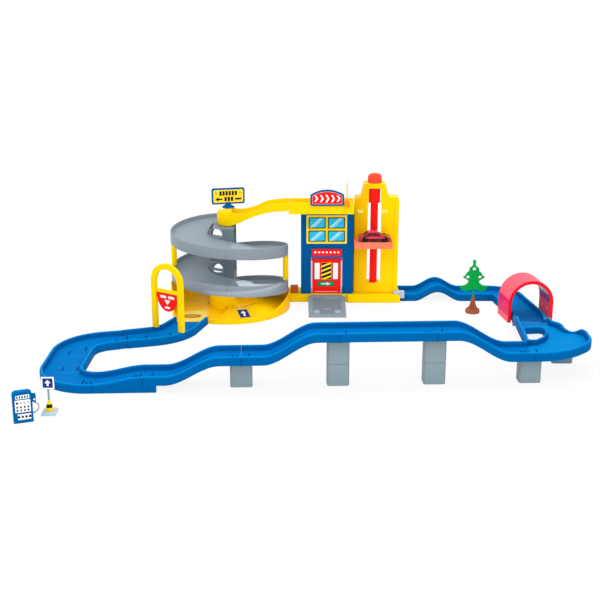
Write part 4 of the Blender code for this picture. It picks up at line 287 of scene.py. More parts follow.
# Signs, tunnel and pump
ARROW_HEAD = 0.45
ROOF_SIGN_RISE = 0.013
ROOF_SIGN_LINE = 0.0046
ROOF_SIGN_PANEL = 0.0056
ROOF_SIGN_CORNER = 0.003
CHEVRON_STEP = 0.0138
CHEVRON_SHIFT = 0.0048
CHEVRON_BAND = 0.0046
CHEVRON_MIDDLE = 0.0188
CHEVRON_HALF = 0.0080
CHEVRON_GROWTH = 0.0010
CHEVRON_TIP = 0.0102
CHEVRON_NOTCH = 0.0056
EXIT_SIGN_CENTRE = (-0.371, -0.017, 0.2583)
EXIT_SIGN_TURN = radians(12)
EXIT_SIGN_WIDTH = 0.084
EXIT_SIGN_HEIGHT = 0.041
EXIT_SIGN_THICKNESS = 0.004
EXIT_SIGN_PANELS = (("pale_yellow", 0.0042, 0, 0.003), ("yellow", 0.0052, 1, 0.0024))
EXIT_SIGN_TOP_ROW = ("black", 6, 0.0078, 0, 0.0028, 0.0222, 0.0335, 2)
EXIT_SIGN_FOOT_ROW = ("black", 3, 0.0082, 0.0012, 0.0030, 0.0078, 0.0186, 2)
EXIT_SIGN_DOT_X = 0.0305
EXIT_SIGN_DOT = (0.0285, 0.0026, 2)
EXIT_SIGN_ARROW = ("black", -0.0240, 0.0130, 0.0180, 0.0110, 2, -1)
EXIT_SIGN_DASH = ("black", 0.0170, 0.0330, 0.0106, 0.0152, 2)
GATE_TURN = radians(-32.1)
GATE_SIGN_THICKNESS = 0.003
GATE_BARS = ((-0.0205, -0.0030, 0.0125, 0.0065), (0.0030, 0.0205, 0.0125, 0.0065),
             (-0.0075, 0.0075, 0.0375, 0.0325))
GATE_TRIANGLE = ((0, 0.0285), (0.0085, 0.0165), (-0.0085, 0.0165))
SIGN_POST_RADIUS = 0.002
SIGN_CONE_TOP = 0.028
PARKING_PANELS = (("white", 0.0006, 0), ("navy", 0.0036, 1))
PARKING_ARROW = 0.0062
PARKING_ARROW_RISE = 0.0068
PARKING_SHAFT = 0.0020
SIGN_STRIPES = (0.0130, 0.0200)
PUMP_CENTRE = (-0.729, -0.799, 0.0)
PUMP_TURN = radians(20)
PUMP_DEPTH = 0.012
NOZZLE_WIDTH = 0.007
NOZZLE_DISC = ("white", 0.0228, 0.0458, 0.0019)
PUMP_PANELS = (("white", -0.0148, 0.0148, 0.0228, 0.0484, 0, 0.0014),
               ("white", -0.0110, 0.0148, 0.0075, 0.0192, 0, 0.0014))
PUMP_ROW = ("black", 5, 0.0050, 0, 0.0014, 0.0523, 0.0569, 1)
PUMP_STRIP = [(-0.0135, 0.0508), (0.0140, 0.0508), (0.0134, 0.0590), (-0.0126, 0.0580)]
PUMP_COLUMNS = (4, 0.0070)
PUMP_DISC = (0.0425, 0.0024, 1)
PUMP_SQUARES = (0.0252, 0.0316)
PUMP_SQUARE_HALF = 0.0017
PUMP_SQUARE_TALL = 0.0040
PUMP_SQUARE_ROUND = 0.0006
PUMP_KEY_SHIFT = 0.0019
PUMP_KEY_HALF = 0.0022
PUMP_KEYS = (0.0110, 0.0158, 1)
TUNNEL_OUTER = 0.057
TUNNEL_WALL = 0.008
TUNNEL_LEG = 0.047
TUNNEL_DEPTH = 0.075
BAND_LOW = 0.016
BAND_STEP = radians(5.5)

# Knob and tree
KNOB_RIBS = 14
KNOB_PROFILE = ((0.0, 0.94, 0.0), (0.02, 0.98, 0.07), (0.10, 1.0, 0.10), (0.62, 0.98, 0.10),
                (0.74, 0.95, 0.09), (0.86, 0.87, 0.06), (0.95, 0.74, 0.03), (1.0, 0.56, 0.0))
ROOTS = 7
ROOT_FOOT = ((0.0, 0.001), (0.001, 0), (0.007, 0), (0.0095, 0.001), (0.0105, 0.003))
ROOT_STEM = ((0.0106, 0.0112, 0.24), (0.014, 0.0084, 0.30), (0.020, 0.0062, 0.30), (0.028, 0.0048, 0.26),
             (0.036, 0.0038, 0.18), (0.045, 0.0030, 0.05))
TREE_STEM = ((0.0440, 0.0030, 0), (0.0455, 0.0026, 0))
TREE_HEIGHT = 0.081
TREE_OUTLINE = ((0, 1.0), (0.045, 0.985), (0.058, 0.955), (0.050, 0.915), (0.042, 0.87), (0.048, 0.835),
                (0.075, 0.80), (0.13, 0.765), (0.168, 0.74), (0.168, 0.70), (0.185, 0.63), (0.24, 0.60),
                (0.27, 0.57), (0.295, 0.51), (0.32, 0.485), (0.385, 0.47), (0.36, 0.43), (0.29, 0.395),
                (0.22, 0.36), (0.178, 0.315), (0.20, 0.275), (0.25, 0.225), (0.32, 0.185), (0.42, 0.172),
                (0.485, 0.175), (0.475, 0.12), (0.44, 0.06), (0.36, 0.015), (0.26, 0.0), (0.15, 0.03),
                (0.06, 0.05))
TREE_CORNER = 0.0012
TREE_SOFT = 0.0006
TREE_HOLES = ((0, 0.713, 0.0043), (-0.21, 0.455, 0.004), (0.21, 0.455, 0.004))

# Each slot's plastic: its colour as light given back, roughness, gloss, mottle and grain
PLASTICS = {
    "yellow_plastic": ((1.0, 0.66, 0.0), 0.28, 0.04),
    "house_blue_plastic": ((0.0, 0.098, 0.31), 0.38, 0.02),
    "road_blue_plastic": ((0.0, 0.148, 0.455), 0.36, 0.003),
    "grey_plastic": ((0.255, 0.30, 0.345), 0.36),
    "red_plastic": ((0.95, 0.012, 0.008), 0.28),
    "orange_red_plastic": ((0.93, 0.215, 0.11), 0.32),
    "pink_red_plastic": ((0.95, 0.12, 0.17), 0.4),
    "dark_red_plastic": ((0.47, 0.008, 0.03), 0.18, 0.5),
    "black_plastic": ((0.015, 0.015, 0.017), 0.5, 0.07, 0.04, 0.1),
    "green_plastic": ((0.0, 0.33, 0.055), 0.42),
    "brown_plastic": ((0.33, 0.10, 0.045), 0.5, 0.07, 0.12, 0.15),
    "block_grey_plastic": ((0.24, 0.31, 0.34), 0.45, 0.07, 0.04, 0.1),
    "pale_blue_plastic": ((0.42, 0.54, 0.66), 0.35),
}
INKS = {
    "white": (0.9, 0.9, 0.9), "black": (0.015, 0.015, 0.017), "grey": (0.42, 0.46, 0.48),
    "red": (0.95, 0.012, 0.008), "dark_red": (0.47, 0.008, 0.03), "bright_red": (0.95, 0.006, 0.020),
    "knob_red": (0.93, 0.075, 0.03), "magenta": (0.80, 0.010, 0.14), "pale_pink": (0.95, 0.45, 0.45),
    "car_pink": (0.86, 0.055, 0.13), "car_glass": (0.11, 0.012, 0.016), "purple": (0.16, 0.09, 0.26),
    # The lighter road blue for lines is painted highlight, on the wall crowns and the left curve's floor
    "navy": (0.01, 0.03, 0.22), "deep_blue": (0.0, 0.055, 0.24), "painted_highlight_blue": (0.0, 0.30, 0.68),
    # The turnout's lighter blue is painted light on its floor
    "turnout_painted_light_blue": (0.0, 0.215, 0.56), "pale_blue": (0.42, 0.54, 0.66), "cyan": (0.03, 0.52, 0.85),
    "pale_cyan": (0.45, 0.82, 0.95), "green": (0.0, 0.30, 0.12), "yellow": (1.0, 0.75, 0.03),
    # The tray's more orange yellow is painted shade, for a tray that lies under the ramps
    "pale_yellow": (0.88, 0.82, 0.25), "tray_yellow_painted_shade": (1.0, 0.57, 0.0), "amber": (0.72, 0.33, 0.0),
    "pale_amber": (1.0, 0.72, 0.14), "orange": (1.0, 0.28, 0.02), "olive": (0.24, 0.17, 0.0),
    # The stop's brown is painted shade on a block that sits in shadow
    "stop_painted_shade_brown": (0.50, 0.10, 0.01), "exit_grey": (0.25, 0.315, 0.365), "dish_grey": (0.195, 0.25, 0.295),
    "bump_grey": (0.37, 0.44, 0.50), "column_grey": (0.16, 0.205, 0.24),
}
# Colours that pieces take in place of their slot's plastic. The tray's more orange yellow, the tower's amber
# tint and the stop's brown are painted shade.
OWN_COLOURS_AND_PAINTED_SHADES = {
    "barrier_bracket": "orange", "knob_shell": "knob_red", "lift_knob": "knob_red", "awning": "purple",
    "column_upper": "column_grey", "column_lower": "column_grey", "spiral_tray": "tray_yellow_painted_shade",
    "tray_bank": "tray_yellow_painted_shade", "lift_tower": "tower_yellow_painted_shade", "base_stop": "stop_painted_shade_brown",
    "exit_ramp": "exit_grey",
}
INK_ROUGHNESS = 0.35
INK_GLOSS = 0.05
BLUE_INK_GLOSS = 0.003
INK_MOTTLE = 0.02
INK_GRAIN = 0.02
# Painted shade and light on the road blue: upright faces darker, level faces lighter, by the slope of the
# face
PAINTED_UPRIGHT_SHADE = 0.74
PAINTED_LEVEL_LIGHT = 1.06
PAINTED_SHADE_SLOPES = (0.1, 0.8)
# Painted shade on the tower: an amber tint over its left part, fading out to the right
TOWER_PAINTED_SHADE_START = -0.075
TOWER_PAINTED_SHADE_END = 0.035
TOWER_PAINTED_SHADE_SHARE = 0.75


def fill(tree, node, inputs):
    """Gives each named input of a node its value, or links it to the socket given for it."""
    for name, value in inputs.items():
        if isinstance(value, bpy.types.NodeSocket):
            tree.links.new(value, node.inputs[name])
        else:
            node.inputs[name].default_value = value


def add_node(tree, kind, inputs=None, **settings):
    """Adds a shader node, makes its settings and then fills its inputs."""
    node = tree.nodes.new(f"ShaderNode{kind}")
    for name, value in settings.items():
        setattr(node, name, value)
    fill(tree, node, inputs or {})
    return node


def plastic(name, colour, roughness, gloss=0.07, mottle=0.04, grain=0.03):
    """Moulded plastic: faint clouds in the colour, uneven gloss and a fine grain."""
    made = bpy.data.materials.new(name)
    made.use_nodes = True
    tree = made.node_tree
    place = add_node(tree, "TexCoord").outputs["Object"]

    def noise(scale, detail):
        return add_node(tree, "TexNoise", {"Scale": scale, "Detail": detail, "Vector": place}).outputs["Fac"]

    darker = (*[c * (1 - mottle) for c in colour], 1)
    lighter = (*[min(c * (1 + mottle), 1) for c in colour], 1)
    clouds = noise(CLOUD_SCALE, 3)
    tint = add_node(tree, "Mix", {"A": darker, "B": lighter, "Factor": clouds}, data_type="RGBA")
    scuff = add_node(tree, "MapRange", {"To Min": roughness * 0.8, "To Max": roughness * 1.25,
                                        "Value": noise(SCUFF_SCALE, 4)})
    bump = add_node(tree, "Bump", {"Strength": grain, "Distance": GRAIN_DEPTH,
                                   "Height": noise(GRAIN_SCALE, 2)})
    fill(tree, tree.nodes["Principled BSDF"], {
        "Base Color": tint.outputs["Result"], "Roughness": scuff.outputs["Result"],
        "Normal": bump.outputs["Normal"], "Specular IOR Level": gloss})
    return made


def base_colour(tree):
    """The socket that now gives a plastic its colour."""
    return tree.nodes["Principled BSDF"].inputs["Base Color"].links[0].from_socket


def make_tower_painted_shade():
    """The yellow plastic with painted shade: an amber tint on the tower's left that fades out to the right.
    """
    made = plastic("tower_yellow_painted_shade", *PLASTICS["yellow_plastic"])
    tree = made.node_tree
    apart = add_node(tree, "SeparateXYZ", {"Vector": add_node(tree, "TexCoord").outputs["Object"]})
    fade = add_node(tree, "MapRange", {"From Min": TOWER_PAINTED_SHADE_START, "From Max": TOWER_PAINTED_SHADE_END,
                                       "To Min": TOWER_PAINTED_SHADE_SHARE, "To Max": 0, "Value": apart.outputs["X"]},
                    interpolation_type="SMOOTHSTEP")
    blend = add_node(tree, "Mix", {"Factor": fade.outputs["Result"], "A": base_colour(tree),
                                   "B": (*INKS["amber"], 1)}, data_type="RGBA")
    fill(tree, tree.nodes["Principled BSDF"], {"Base Color": blend.outputs["Result"]})
    return made


def paint_upright_shade(tree):
    """Paints shade and light into a plastic's colour: upright faces darker and level faces lighter, by the
    slope of each face.
    """
    apart = add_node(tree, "SeparateXYZ", {"Vector": add_node(tree, "NewGeometry").outputs["Normal"]})
    share = add_node(tree, "MapRange", {"From Min": PAINTED_SHADE_SLOPES[0], "From Max": PAINTED_SHADE_SLOPES[1],
                                        "To Min": PAINTED_UPRIGHT_SHADE, "To Max": PAINTED_LEVEL_LIGHT,
                                        "Value": apart.outputs["Z"]})
    depth = add_node(tree, "VectorMath", {0: base_colour(tree), "Scale": share.outputs["Result"]},
                     operation="SCALE")
    fill(tree, tree.nodes["Principled BSDF"], {"Base Color": depth.outputs["Vector"]})


MATERIALS = {name: plastic(name, *finish) for name, finish in PLASTICS.items()}
for ink, colour in INKS.items():
    gloss = BLUE_INK_GLOSS if ink.endswith("_blue") else INK_GLOSS
    MATERIALS[ink] = plastic(f"ink_{ink}", colour, INK_ROUGHNESS, gloss, INK_MOTTLE, INK_GRAIN)
MATERIALS["tower_yellow_painted_shade"] = make_tower_painted_shade()
paint_upright_shade(MATERIALS["road_blue_plastic"].node_tree)


def paint_nodes():
    """Gives each CAD node its slot's plastic, or the colour listed for it, some of which are painted shade.
    """
    for entry in frame["record"]["subparts"]:
        materials = NODES[entry["node"]].data.materials
        materials.clear()
        materials.append(MATERIALS[OWN_COLOURS_AND_PAINTED_SHADES.get(entry["node"], entry["material_slot"])])


def soften(name, width, segments=3, angle=30):
    """Rounds the edges of a CAD node without touching its mesh."""
    thing = NODES[name]
    mesh = thing.data
    if "custom_normal" in mesh.attributes:
        mesh.attributes.remove(mesh.attributes["custom_normal"])
    mesh.shade_smooth()
    weld = thing.modifiers.new("weld", "WELD")
    weld.merge_threshold = 0.00001
    merge = thing.modifiers.new("flat", "DECIMATE")
    merge.decimate_type = "DISSOLVE"
    merge.angle_limit = radians(0.5)
    edge = thing.modifiers.new("edge", "BEVEL")
    edge.width = width
    edge.segments = segments
    edge.limit_method = "ANGLE"
    edge.angle_limit = radians(angle)
    edge.harden_normals = True


def spread(start, end, steps):
    """The values from start to end in equal steps, with both ends."""
    return [start + (end - start) * k / steps for k in range(steps + 1)]


def placed(count, step):
    """The places of a row of marks about its middle."""
    return [(k - (count - 1) / 2) * step for k in range(count)]


def arc(centre_x, centre_y, radius, start, end, steps):
    return [(centre_x + radius * cos(turn), centre_y + radius * sin(turn))
            for turn in spread(start, end, steps)]


def circle(centre_x, centre_y, radius, steps):
    return arc(centre_x, centre_y, radius, 0, tau, steps)[:-1]


def rectangle(left, right, low, high):
    return [(left, low), (right, low), (right, high), (left, high)]


def filleted(corners, radii, steps=4, is_closed=True):
    """The corners with each one rounded to a radius, or to its own radius from a list."""
    count = len(corners)
    if not isinstance(radii, (list, tuple)):
        radii = [radii] * count
    points = []
    for k, (corner, radius) in enumerate(zip(corners, radii)):
        is_end = not is_closed and k in (0, count - 1)
        if radius <= 0 or is_end:
            points.append(tuple(corner))
            continue
        here = Vector(corner)
        before = (Vector(corners[k - 1]) - here).normalized()
        after = (Vector(corners[(k + 1) % count]) - here).normalized()
        half = before.angle(after) / 2
        centre = here + (before + after).normalized() * radius / sin(half)
        first = here + before * radius / tan(half) - centre
        last = here + after * radius / tan(half) - centre
        start = atan2(first.y, first.x)
        sweep = remainder(atan2(last.y, last.x) - start, tau)
        points += arc(centre.x, centre.y, radius, start, start + sweep, steps)
    return points


def box_of(node):
    return [Vector(corner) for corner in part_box(node)]


def turned(centre, profile, count, wave=None):
    """Rings about an upright axis, one for each level, reach and rib depth of a profile."""
    rings = []
    for level, reach, rib in profile:
        ring = []
        for turn in spread(0, tau, count)[:-1]:
            wide = reach * wave(turn, rib) if wave else reach
            ring.append(Vector((centre.x + wide * cos(turn), centre.y + wide * sin(turn), level)))
        rings.append(ring)
    return rings


def new_piece(name, shell, materials, body="garage", stands_for=(), angle=35):
    """Turns a bmesh into a smooth piece that rides on a body."""
    bmesh.ops.recalc_face_normals(shell, faces=shell.faces)
    mesh = bpy.data.meshes.new(name)
    shell.to_mesh(mesh)
    shell.free()
    own = [OWN_COLOURS_AND_PAINTED_SHADES[name]] if name in OWN_COLOURS_AND_PAINTED_SHADES else materials
    for material in own:
        mesh.materials.append(MATERIALS[material])
    mesh.shade_smooth()
    mesh.set_sharp_from_angle(angle=radians(angle))
    thing = bpy.data.objects.new(name, mesh)
    bpy.context.scene.collection.objects.link(thing)
    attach(thing, body)
    if stands_for:
        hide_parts(*stands_for)
    return thing


def add_loft(shell, rings, material=0, is_ring=False):
    """Adds a closed solid through rings of matching points, in one material or in one for each band."""
    loops = [[shell.verts.new(point) for point in ring] for ring in rings]
    pairs = list(zip(loops, loops[1:]))
    if is_ring:
        pairs.append((loops[-1], loops[0]))
    bands = material if isinstance(material, list) else [material] * len(pairs)
    for (lower, upper), band in zip(pairs, bands):
        for k in range(len(lower)):
            after = (k + 1) % len(lower)
            face = shell.faces.new((lower[k], lower[after], upper[after], upper[k]))
            face.material_index = band
    if not is_ring:
        for loop, band in ((loops[0], bands[0]), (loops[-1], bands[-1])):
            face = shell.faces.new(loop)
            face.material_index = band


def lofted(name, rings, slot, body="garage", stands_for=(), angle=35):
    shell = bmesh.new()
    add_loft(shell, rings)
    return new_piece(name, shell, [slot], body, stands_for, angle)


def add_slab(shell, outline, low, high):
    """Adds an upright solid between two levels."""
    add_loft(shell, [[Vector((x, y, level)) for x, y in outline] for level in (low, high)])


def cut_plate(loops, half, soft=0.0):
    """A flat plate about level zero whose later loops are holes in the first, with softened edges."""
    curve = bpy.data.curves.new("plate", "CURVE")
    curve.dimensions = "2D"
    curve.fill_mode = "BOTH"
    curve.extrude = half - soft
    curve.bevel_depth = soft
    curve.bevel_resolution = 1
    curve.offset = -soft
    for loop in loops:
        line = curve.splines.new("POLY")
        line.points.add(len(loop) - 1)
        line.use_cyclic_u = True
        for spot, (x, y) in zip(line.points, loop):
            spot.co = (x, y, 0, 1)
    holder = bpy.data.objects.new("plate", curve)
    mesh = bpy.data.meshes.new_from_object(holder)
    bpy.data.objects.remove(holder)
    shell = bmesh.new()
    shell.from_mesh(mesh)
    bpy.data.meshes.remove(mesh)
    bmesh.ops.remove_doubles(shell, verts=shell.verts, dist=0.00002)
    return shell


class Flat:
    """A flat place to print on: a corner, the direction across, the direction up, and the way it faces."""

    def __init__(self, name, origin, across=(1, 0, 0), up=(0, 0, 1), body="garage"):
        self.name = name
        self.body = body
        self.origin = Vector(origin)
        self.across = Vector(across).normalized()
        self.up = Vector(up).normalized()
        self.out = self.across.cross(self.up)
        self.shapes = []

    def add(self, ink, outline, level=0):
        self.shapes.append((ink, outline, level))

    def box(self, ink, left, right, low, high, level=0, corner=0.0):
        outline = rectangle(left, right, low, high)
        self.add(ink, filleted(outline, corner, 3) if corner else outline, level)

    def boxes(self, rows):
        for row in rows:
            self.box(*row)

    def row(self, ink, count, step, shift, half, low, high, level):
        """A row of equal boxes, moved sideways from the middle by a shift."""
        for place in placed(count, step):
            self.box(ink, place + shift - half, place + shift + half, low, high, level)

    def framed(self, line, ink, left, right, low, high, rim, corner=0.0008):
        self.box(line, left, right, low, high, 0, corner)
        self.box(ink, left + rim, right - rim, low + rim, high - rim, 1, corner / 2)

    def disc(self, ink, x, y, radius, level=0):
        self.add(ink, circle(x, y, radius, 20), level)

    def arrow(self, ink, x, y, length, width, level, side):
        """A plain arrow: a triangle and a shaft. Side is -1 for one that points left."""
        tip = x + side * length / 2
        neck = tip - side * length * ARROW_HEAD
        self.add(ink, [(tip, y), (neck, y - width / 2), (neck, y + width / 2)], level)
        ends = sorted((neck, x - side * length / 2))
        self.box(ink, *ends, y - width / 6, y + width / 6, level)

    def behind(self, depth):
        """The face on the other side of a plate of a given depth."""
        return Flat(f"{self.name}_back", self.origin - self.out * depth, -self.across, self.up, self.body)

    def at(self, x, y, out):
        return self.origin + self.across * x + self.up * y + self.out * out

    def finish(self):
        inks = list(dict.fromkeys(ink for ink, outline, level in self.shapes))
        shell = bmesh.new()
        for ink, outline, level in self.shapes:
            rings = [[self.at(x, y, out) for x, y in outline] for out in (PRINT / 4, PRINT * (level + 1))]
            add_loft(shell, rings, inks.index(ink))
        return new_piece(self.name, shell, inks, self.body)


def rim_height(angle):
    """The height of the spiral's rim, as in the part's source."""
    turned_down = RAMP_PITCH * (angle - pi) / tau
    swing = RAMP_SWING * (sin(angle - RAMP_SWING_ANGLE) - sin(pi - RAMP_SWING_ANGLE))
    excess = -turned_down - swing
    if angle < pi:
        share = (pi - angle) / (pi - RAMP_ENDS[0])
        excess *= 1 - RAMP_EASE_SHARE * share * share
    return RAMP_LEFT_RIM_HEIGHT + excess


def around(radius, angle, height):
    return Vector((SPIRAL_X + radius * cos(angle), SPIRAL_Y + radius * sin(angle), height))


def eased(share):
    held = min(max(share, 0), 1)
    return held * held * (3 - 2 * held)


def make_ramps():
    """The four half turns of the ramp, with a rounded rim, a soft foot to the wall and a lip at each end."""
    inner = COLUMN_RADIUS + GAP
    outer = SPIRAL_RADIUS
    wall = outer - RAMP_WALL
    floor = -RAMP_RIM
    lip = floor + RAMP_INNER_RIM
    edge = RAMP_WALL * 0.4
    section = [(outer - edge / 2, -RAMP_SKIRT), (outer, -RAMP_SKIRT + edge / 2)]
    section += arc(outer - edge, -edge, edge, 0, pi / 2, 3)
    section += arc(wall + edge, -edge, edge, pi / 2, pi, 3)
    section += arc(wall - edge * 2, floor + edge * 2, edge * 2, 0, -pi / 2, 4)
    section += [(inner + 0.005, floor), (inner + 0.0032, floor + 0.0015), (inner + 0.0026, lip - 0.0008),
                (inner + 0.0018, lip), (inner, lip), (inner, floor - RAMP_FLOOR), (wall, floor - RAMP_FLOOR),
                (wall, -RAMP_SKIRT)]
    seam = GAP / COLUMN_RADIUS
    for number, (start, end) in enumerate(zip(RAMP_ENDS, RAMP_ENDS[1:]), 1):
        rings = [[around(radius, angle, rim_height(angle) + up) for radius, up in section]
                 for angle in spread(start, end - seam, RAMP_STEPS)]
        lofted(f"ramp_{number}_shell", rings, "grey_plastic", stands_for=(f"ramp_{number}",), angle=50)


def tray_rim(angle):
    full_turn = tau
    to_right = eased((angle - TRAY_RISE_START) / (full_turn - TRAY_RISE_START))
    quarter = pi / 2
    to_back = eased((angle - full_turn) / quarter)
    to_left = eased((angle - full_turn - quarter) / quarter)
    return (TRAY_LOW_RIM + (TRAY_HIGH_RIM - TRAY_LOW_RIM) * to_right
            + (TRAY_BACK_RIM - TRAY_HIGH_RIM) * to_back + (TRAY_LEFT_RIM - TRAY_BACK_RIM) * to_left)


def make_tray():
    """The round tray: its floor and banked wall, the lane that the cars leave by, the spout and its fin."""
    wall = TRAY_WALL
    spout_left = SPIRAL_X - SPOUT_LEFT
    spout_right = SPIRAL_X - SPOUT_RIGHT
    middle = TRAY_RADIUS - wall / 2
    start = pi + acos(SPOUT_RIGHT / middle)
    end = 3 * pi
    shell = bmesh.new()
    outline = arc(SPIRAL_X, SPIRAL_Y, middle, start, end, TRAY_STEPS)
    outline += [(spout_left + wall / 2, SPOUT_END_Y), (spout_right, SPOUT_END_Y)]
    add_slab(shell, outline, TRAY_FOOT_LIFT, TRAY_FLOOR)

    def wall_ring(top, place):
        edge = wall * 0.42
        rise = top - edge
        marks = [(0, 0), (0, rise)]
        marks += [(edge - edge * cos(turn), rise + edge * sin(turn)) for turn in (pi / 6, pi / 3, pi / 2)]
        marks += [(wall - edge + edge * sin(turn), rise + edge * cos(turn)) for turn in (0, pi / 6, pi / 3)]
        marks += [(wall, rise), (wall, TRAY_FLOOR + 0.003), (wall + 0.0012, TRAY_FLOOR + 0.0008),
                  (wall + 0.003, TRAY_FLOOR - 0.0004), (wall, 0)]
        return [place(inward, up) for inward, up in marks]

    rings = []
    for angle in spread(start, end, TRAY_STEPS):
        rings.append(wall_ring(tray_rim(angle), lambda inward, up: around(TRAY_RADIUS - inward, angle, up)))
    tangent = SPIRAL_X - TRAY_RADIUS
    for share in spread(0, 1, 16)[1:]:
        x = tangent + (spout_left - tangent) * share
        y = SPIRAL_Y + (SPOUT_END_Y - SPIRAL_Y) * share
        top = TRAY_LEFT_RIM + (ROAD_HEIGHT - TRAY_LEFT_RIM) * eased(share)
        rings.append(wall_ring(top, lambda inward, up: Vector((x + inward, y, up))))
    add_loft(shell, rings)

    lane = []
    for share in spread(0, 1, 30):
        angle = LANE_START + (LANE_END - LANE_START) * share
        level = LANE_HIGH + (LANE_LOW - LANE_HIGH) * share
        lane.append([around(radius, angle, up)
                     for radius, up in rectangle(COLUMN_RADIUS + wall, middle, TRAY_FLOOR / 2, level)])
    add_loft(shell, lane)
    fin = rectangle(spout_right - wall, spout_right - GAP, TRAY_FLOOR / 2, TRAY_LOW_RIM + 0.002)
    add_loft(shell, [[Vector((x, y, z)) for x, z in fin] for y in (SPOUT_END_Y, SPOUT_END_Y + SPOUT_FIN)])
    new_piece("spiral_tray", shell, ["yellow_plastic"], stands_for=("spiral_base",), angle=40)


def road_section(width, drop):
    """The section of a road, with well rounded walls and a soft foot where they meet the floor."""
    outer = width / 2
    inner = outer - ROAD_WALL
    middle = outer - ROAD_WALL / 2
    pocket = outer - ROAD_SKIRT
    under = ROAD_FLOOR - ROAD_SHEET
    crown = [(cos(turn) * ROAD_WALL / 2, ROAD_HEIGHT - ROAD_ROUND + sin(turn) * ROAD_ROUND)
             for turn in spread(0, pi, 8)]
    right = [(middle + across, up) for across, up in crown]
    left = [(across - middle, up) for across, up in crown]
    foot = 0.002
    right += [(inner, ROAD_FLOOR + foot), (inner - foot / 3, ROAD_FLOOR + foot / 3),
              (inner - foot, ROAD_FLOOR)]
    left = [(-across, up) for across, up in right[:-4:-1]] + left
    return [(-outer, -drop), (-pocket, -drop), (-pocket, under), (pocket, under), (pocket, -drop),
            (outer, -drop)] + right + left


CROWN_HIGHLIGHT_STRIPS = []


def add_crown_highlight_strips(path, far_path, tops):
    """Keeps a narrow strip of painted highlight along a wall's crown for the one piece that holds them all.
    """
    strip = []
    for (near_x, near_y), (far_x, far_y), top in zip(path, far_path, tops):
        strip.append([Vector((x, y, top + up)) for x, y, up in
                      ((near_x, near_y, -CROWN_HIGHLIGHT_SUNK), (far_x, far_y, -CROWN_HIGHLIGHT_SUNK), (far_x, far_y, CROWN_HIGHLIGHT_RISE),
                       (near_x, near_y, CROWN_HIGHLIGHT_RISE))])
    CROWN_HIGHLIGHT_STRIPS.append(strip)


def make_crown_highlights():
    """The one piece that holds the painted highlights along the crowns of all the roads' walls."""
    shell = bmesh.new()
    for strip in CROWN_HIGHLIGHT_STRIPS:
        add_loft(shell, strip)
    new_piece("road_crown_painted_highlights", shell, ["painted_highlight_blue"])


def make_road(name, points, foot, width=ROAD_WIDTH, bulge=0, drop=None, ends=(None, None)):
    """A road along a plan route. Foot and drop give its height and skirt at a distance along it."""
    total = sum((Vector(b) - Vector(a)).length for a, b in zip(points, points[1:]))
    last = len(points) - 1
    forced = {0: ends[0], last: ends[1]}
    rings = []
    edges = {-1: ([], [], []), 1: ([], [], [])}
    distance = 0
    for k, point in enumerate(points):
        before = Vector(points[max(k - 1, 0)])
        after = Vector(points[min(k + 1, last)])
        distance += (Vector(point) - before).length
        heading = (after - before).normalized()
        across = Vector((heading.y, -heading.x))
        if forced.get(k) is not None:
            across = Vector((sin(forced[k]), -cos(forced[k])))
        level = foot(distance, total)
        skirt = drop(distance, total) if drop else 0
        wide = width + bulge * sin(pi * distance / total)
        rings.append([Vector((point[0] + side * across.x, point[1] + side * across.y, level + up))
                      for side, up in road_section(wide, skirt)])
        # Where the painted highlight strip runs along each wall's crown
        crown = wide / 2 - ROAD_WALL / 2
        for side, (near, far, tops) in edges.items():
            for edge, reach in ((near, crown - CROWN_HIGHLIGHT_HALF), (far, crown + CROWN_HIGHLIGHT_HALF)):
                edge.append((point[0] + side * reach * across.x, point[1] + side * reach * across.y))
            tops.append(level + ROAD_HEIGHT)
    for near, far, tops in edges.values():
        add_crown_highlight_strips(near, far, tops)
    lofted(f"{name}_shell", rings, "road_blue_plastic", stands_for=(name,), angle=40)


def climb(low, high):
    def foot(distance, total):
        share = (distance / total - FLAT_END_SHARE) / (1 - 2 * FLAT_END_SHARE)
        return low + (high - low) * eased(share)
    return foot


def front_point(distance, across=0):
    """A plan point on the line of the front roads, at a distance along it and to its far side."""
    x = cos(FRONT_ROAD_TURN)
    y = sin(FRONT_ROAD_TURN)
    return (FRONT_ROAD_X + distance * x - across * y, FRONT_ROAD_Y + distance * y + across * x)


def shared(origin, shares):
    """Plan points given as shares of a road's width from an origin."""
    return [(origin[0] + x * ROAD_WIDTH, origin[1] + y * ROAD_WIDTH) for x, y in shares]


def back_places():
    """Where the turnout starts, its mouth's depth and middle, and the tunnel road's two bends."""
    origin = front_point(FRONT_JOINTS[-1] + GAP)
    back_y = origin[1] + TURNOUT_DEPTH
    mouth_x = origin[0] + TURNOUT_OFFSET
    near_bend = (mouth_x + TUNNEL_ROAD_BEND[0], back_y + TUNNEL_ROAD_BEND[1])
    far_bend = (HUMP_ROAD_LEFT + HUMP_ROAD_LENGTH + TUNNEL_ROAD_REACH, HUMP_ROAD_Y)
    return origin, back_y, mouth_x, near_bend, far_bend


def make_front_roads():
    roads = (("road_riser", 0, RISER_HEIGHT, 24), ("road_climb_1", RISER_HEIGHT, LEVEL_ONE, 40),
             ("road_climb_2", LEVEL_ONE, LEVEL_TWO, 40), ("road_flat", LEVEL_TWO, LEVEL_TWO, 2),
             ("road_descent", LEVEL_TWO, LEVEL_ONE, 40))
    for number, (name, low, high, steps) in enumerate(roads):
        start = FRONT_JOINTS[number] + GAP
        end = FRONT_JOINTS[number + 1]
        shares = spread(0, 1, steps)
        drop = None
        foot = climb(low, high)
        if name == "road_riser":
            def foot(distance, total):
                return RISER_HEIGHT * eased(distance / total)
            drop = foot
        if name == "road_climb_1":
            apron_share = RISER_APRON / STRAIGHT_LENGTH
            shares = sorted(shares + [apron_share, apron_share + GAP / STRAIGHT_LENGTH * 2])

            def drop(distance, total):
                is_apron = distance < RISER_APRON + GAP
                return climb(RISER_HEIGHT, LEVEL_ONE)(distance, total) if is_apron else 0
        make_road(name, [front_point(start + (end - start) * share) for share in shares], foot, drop=drop)


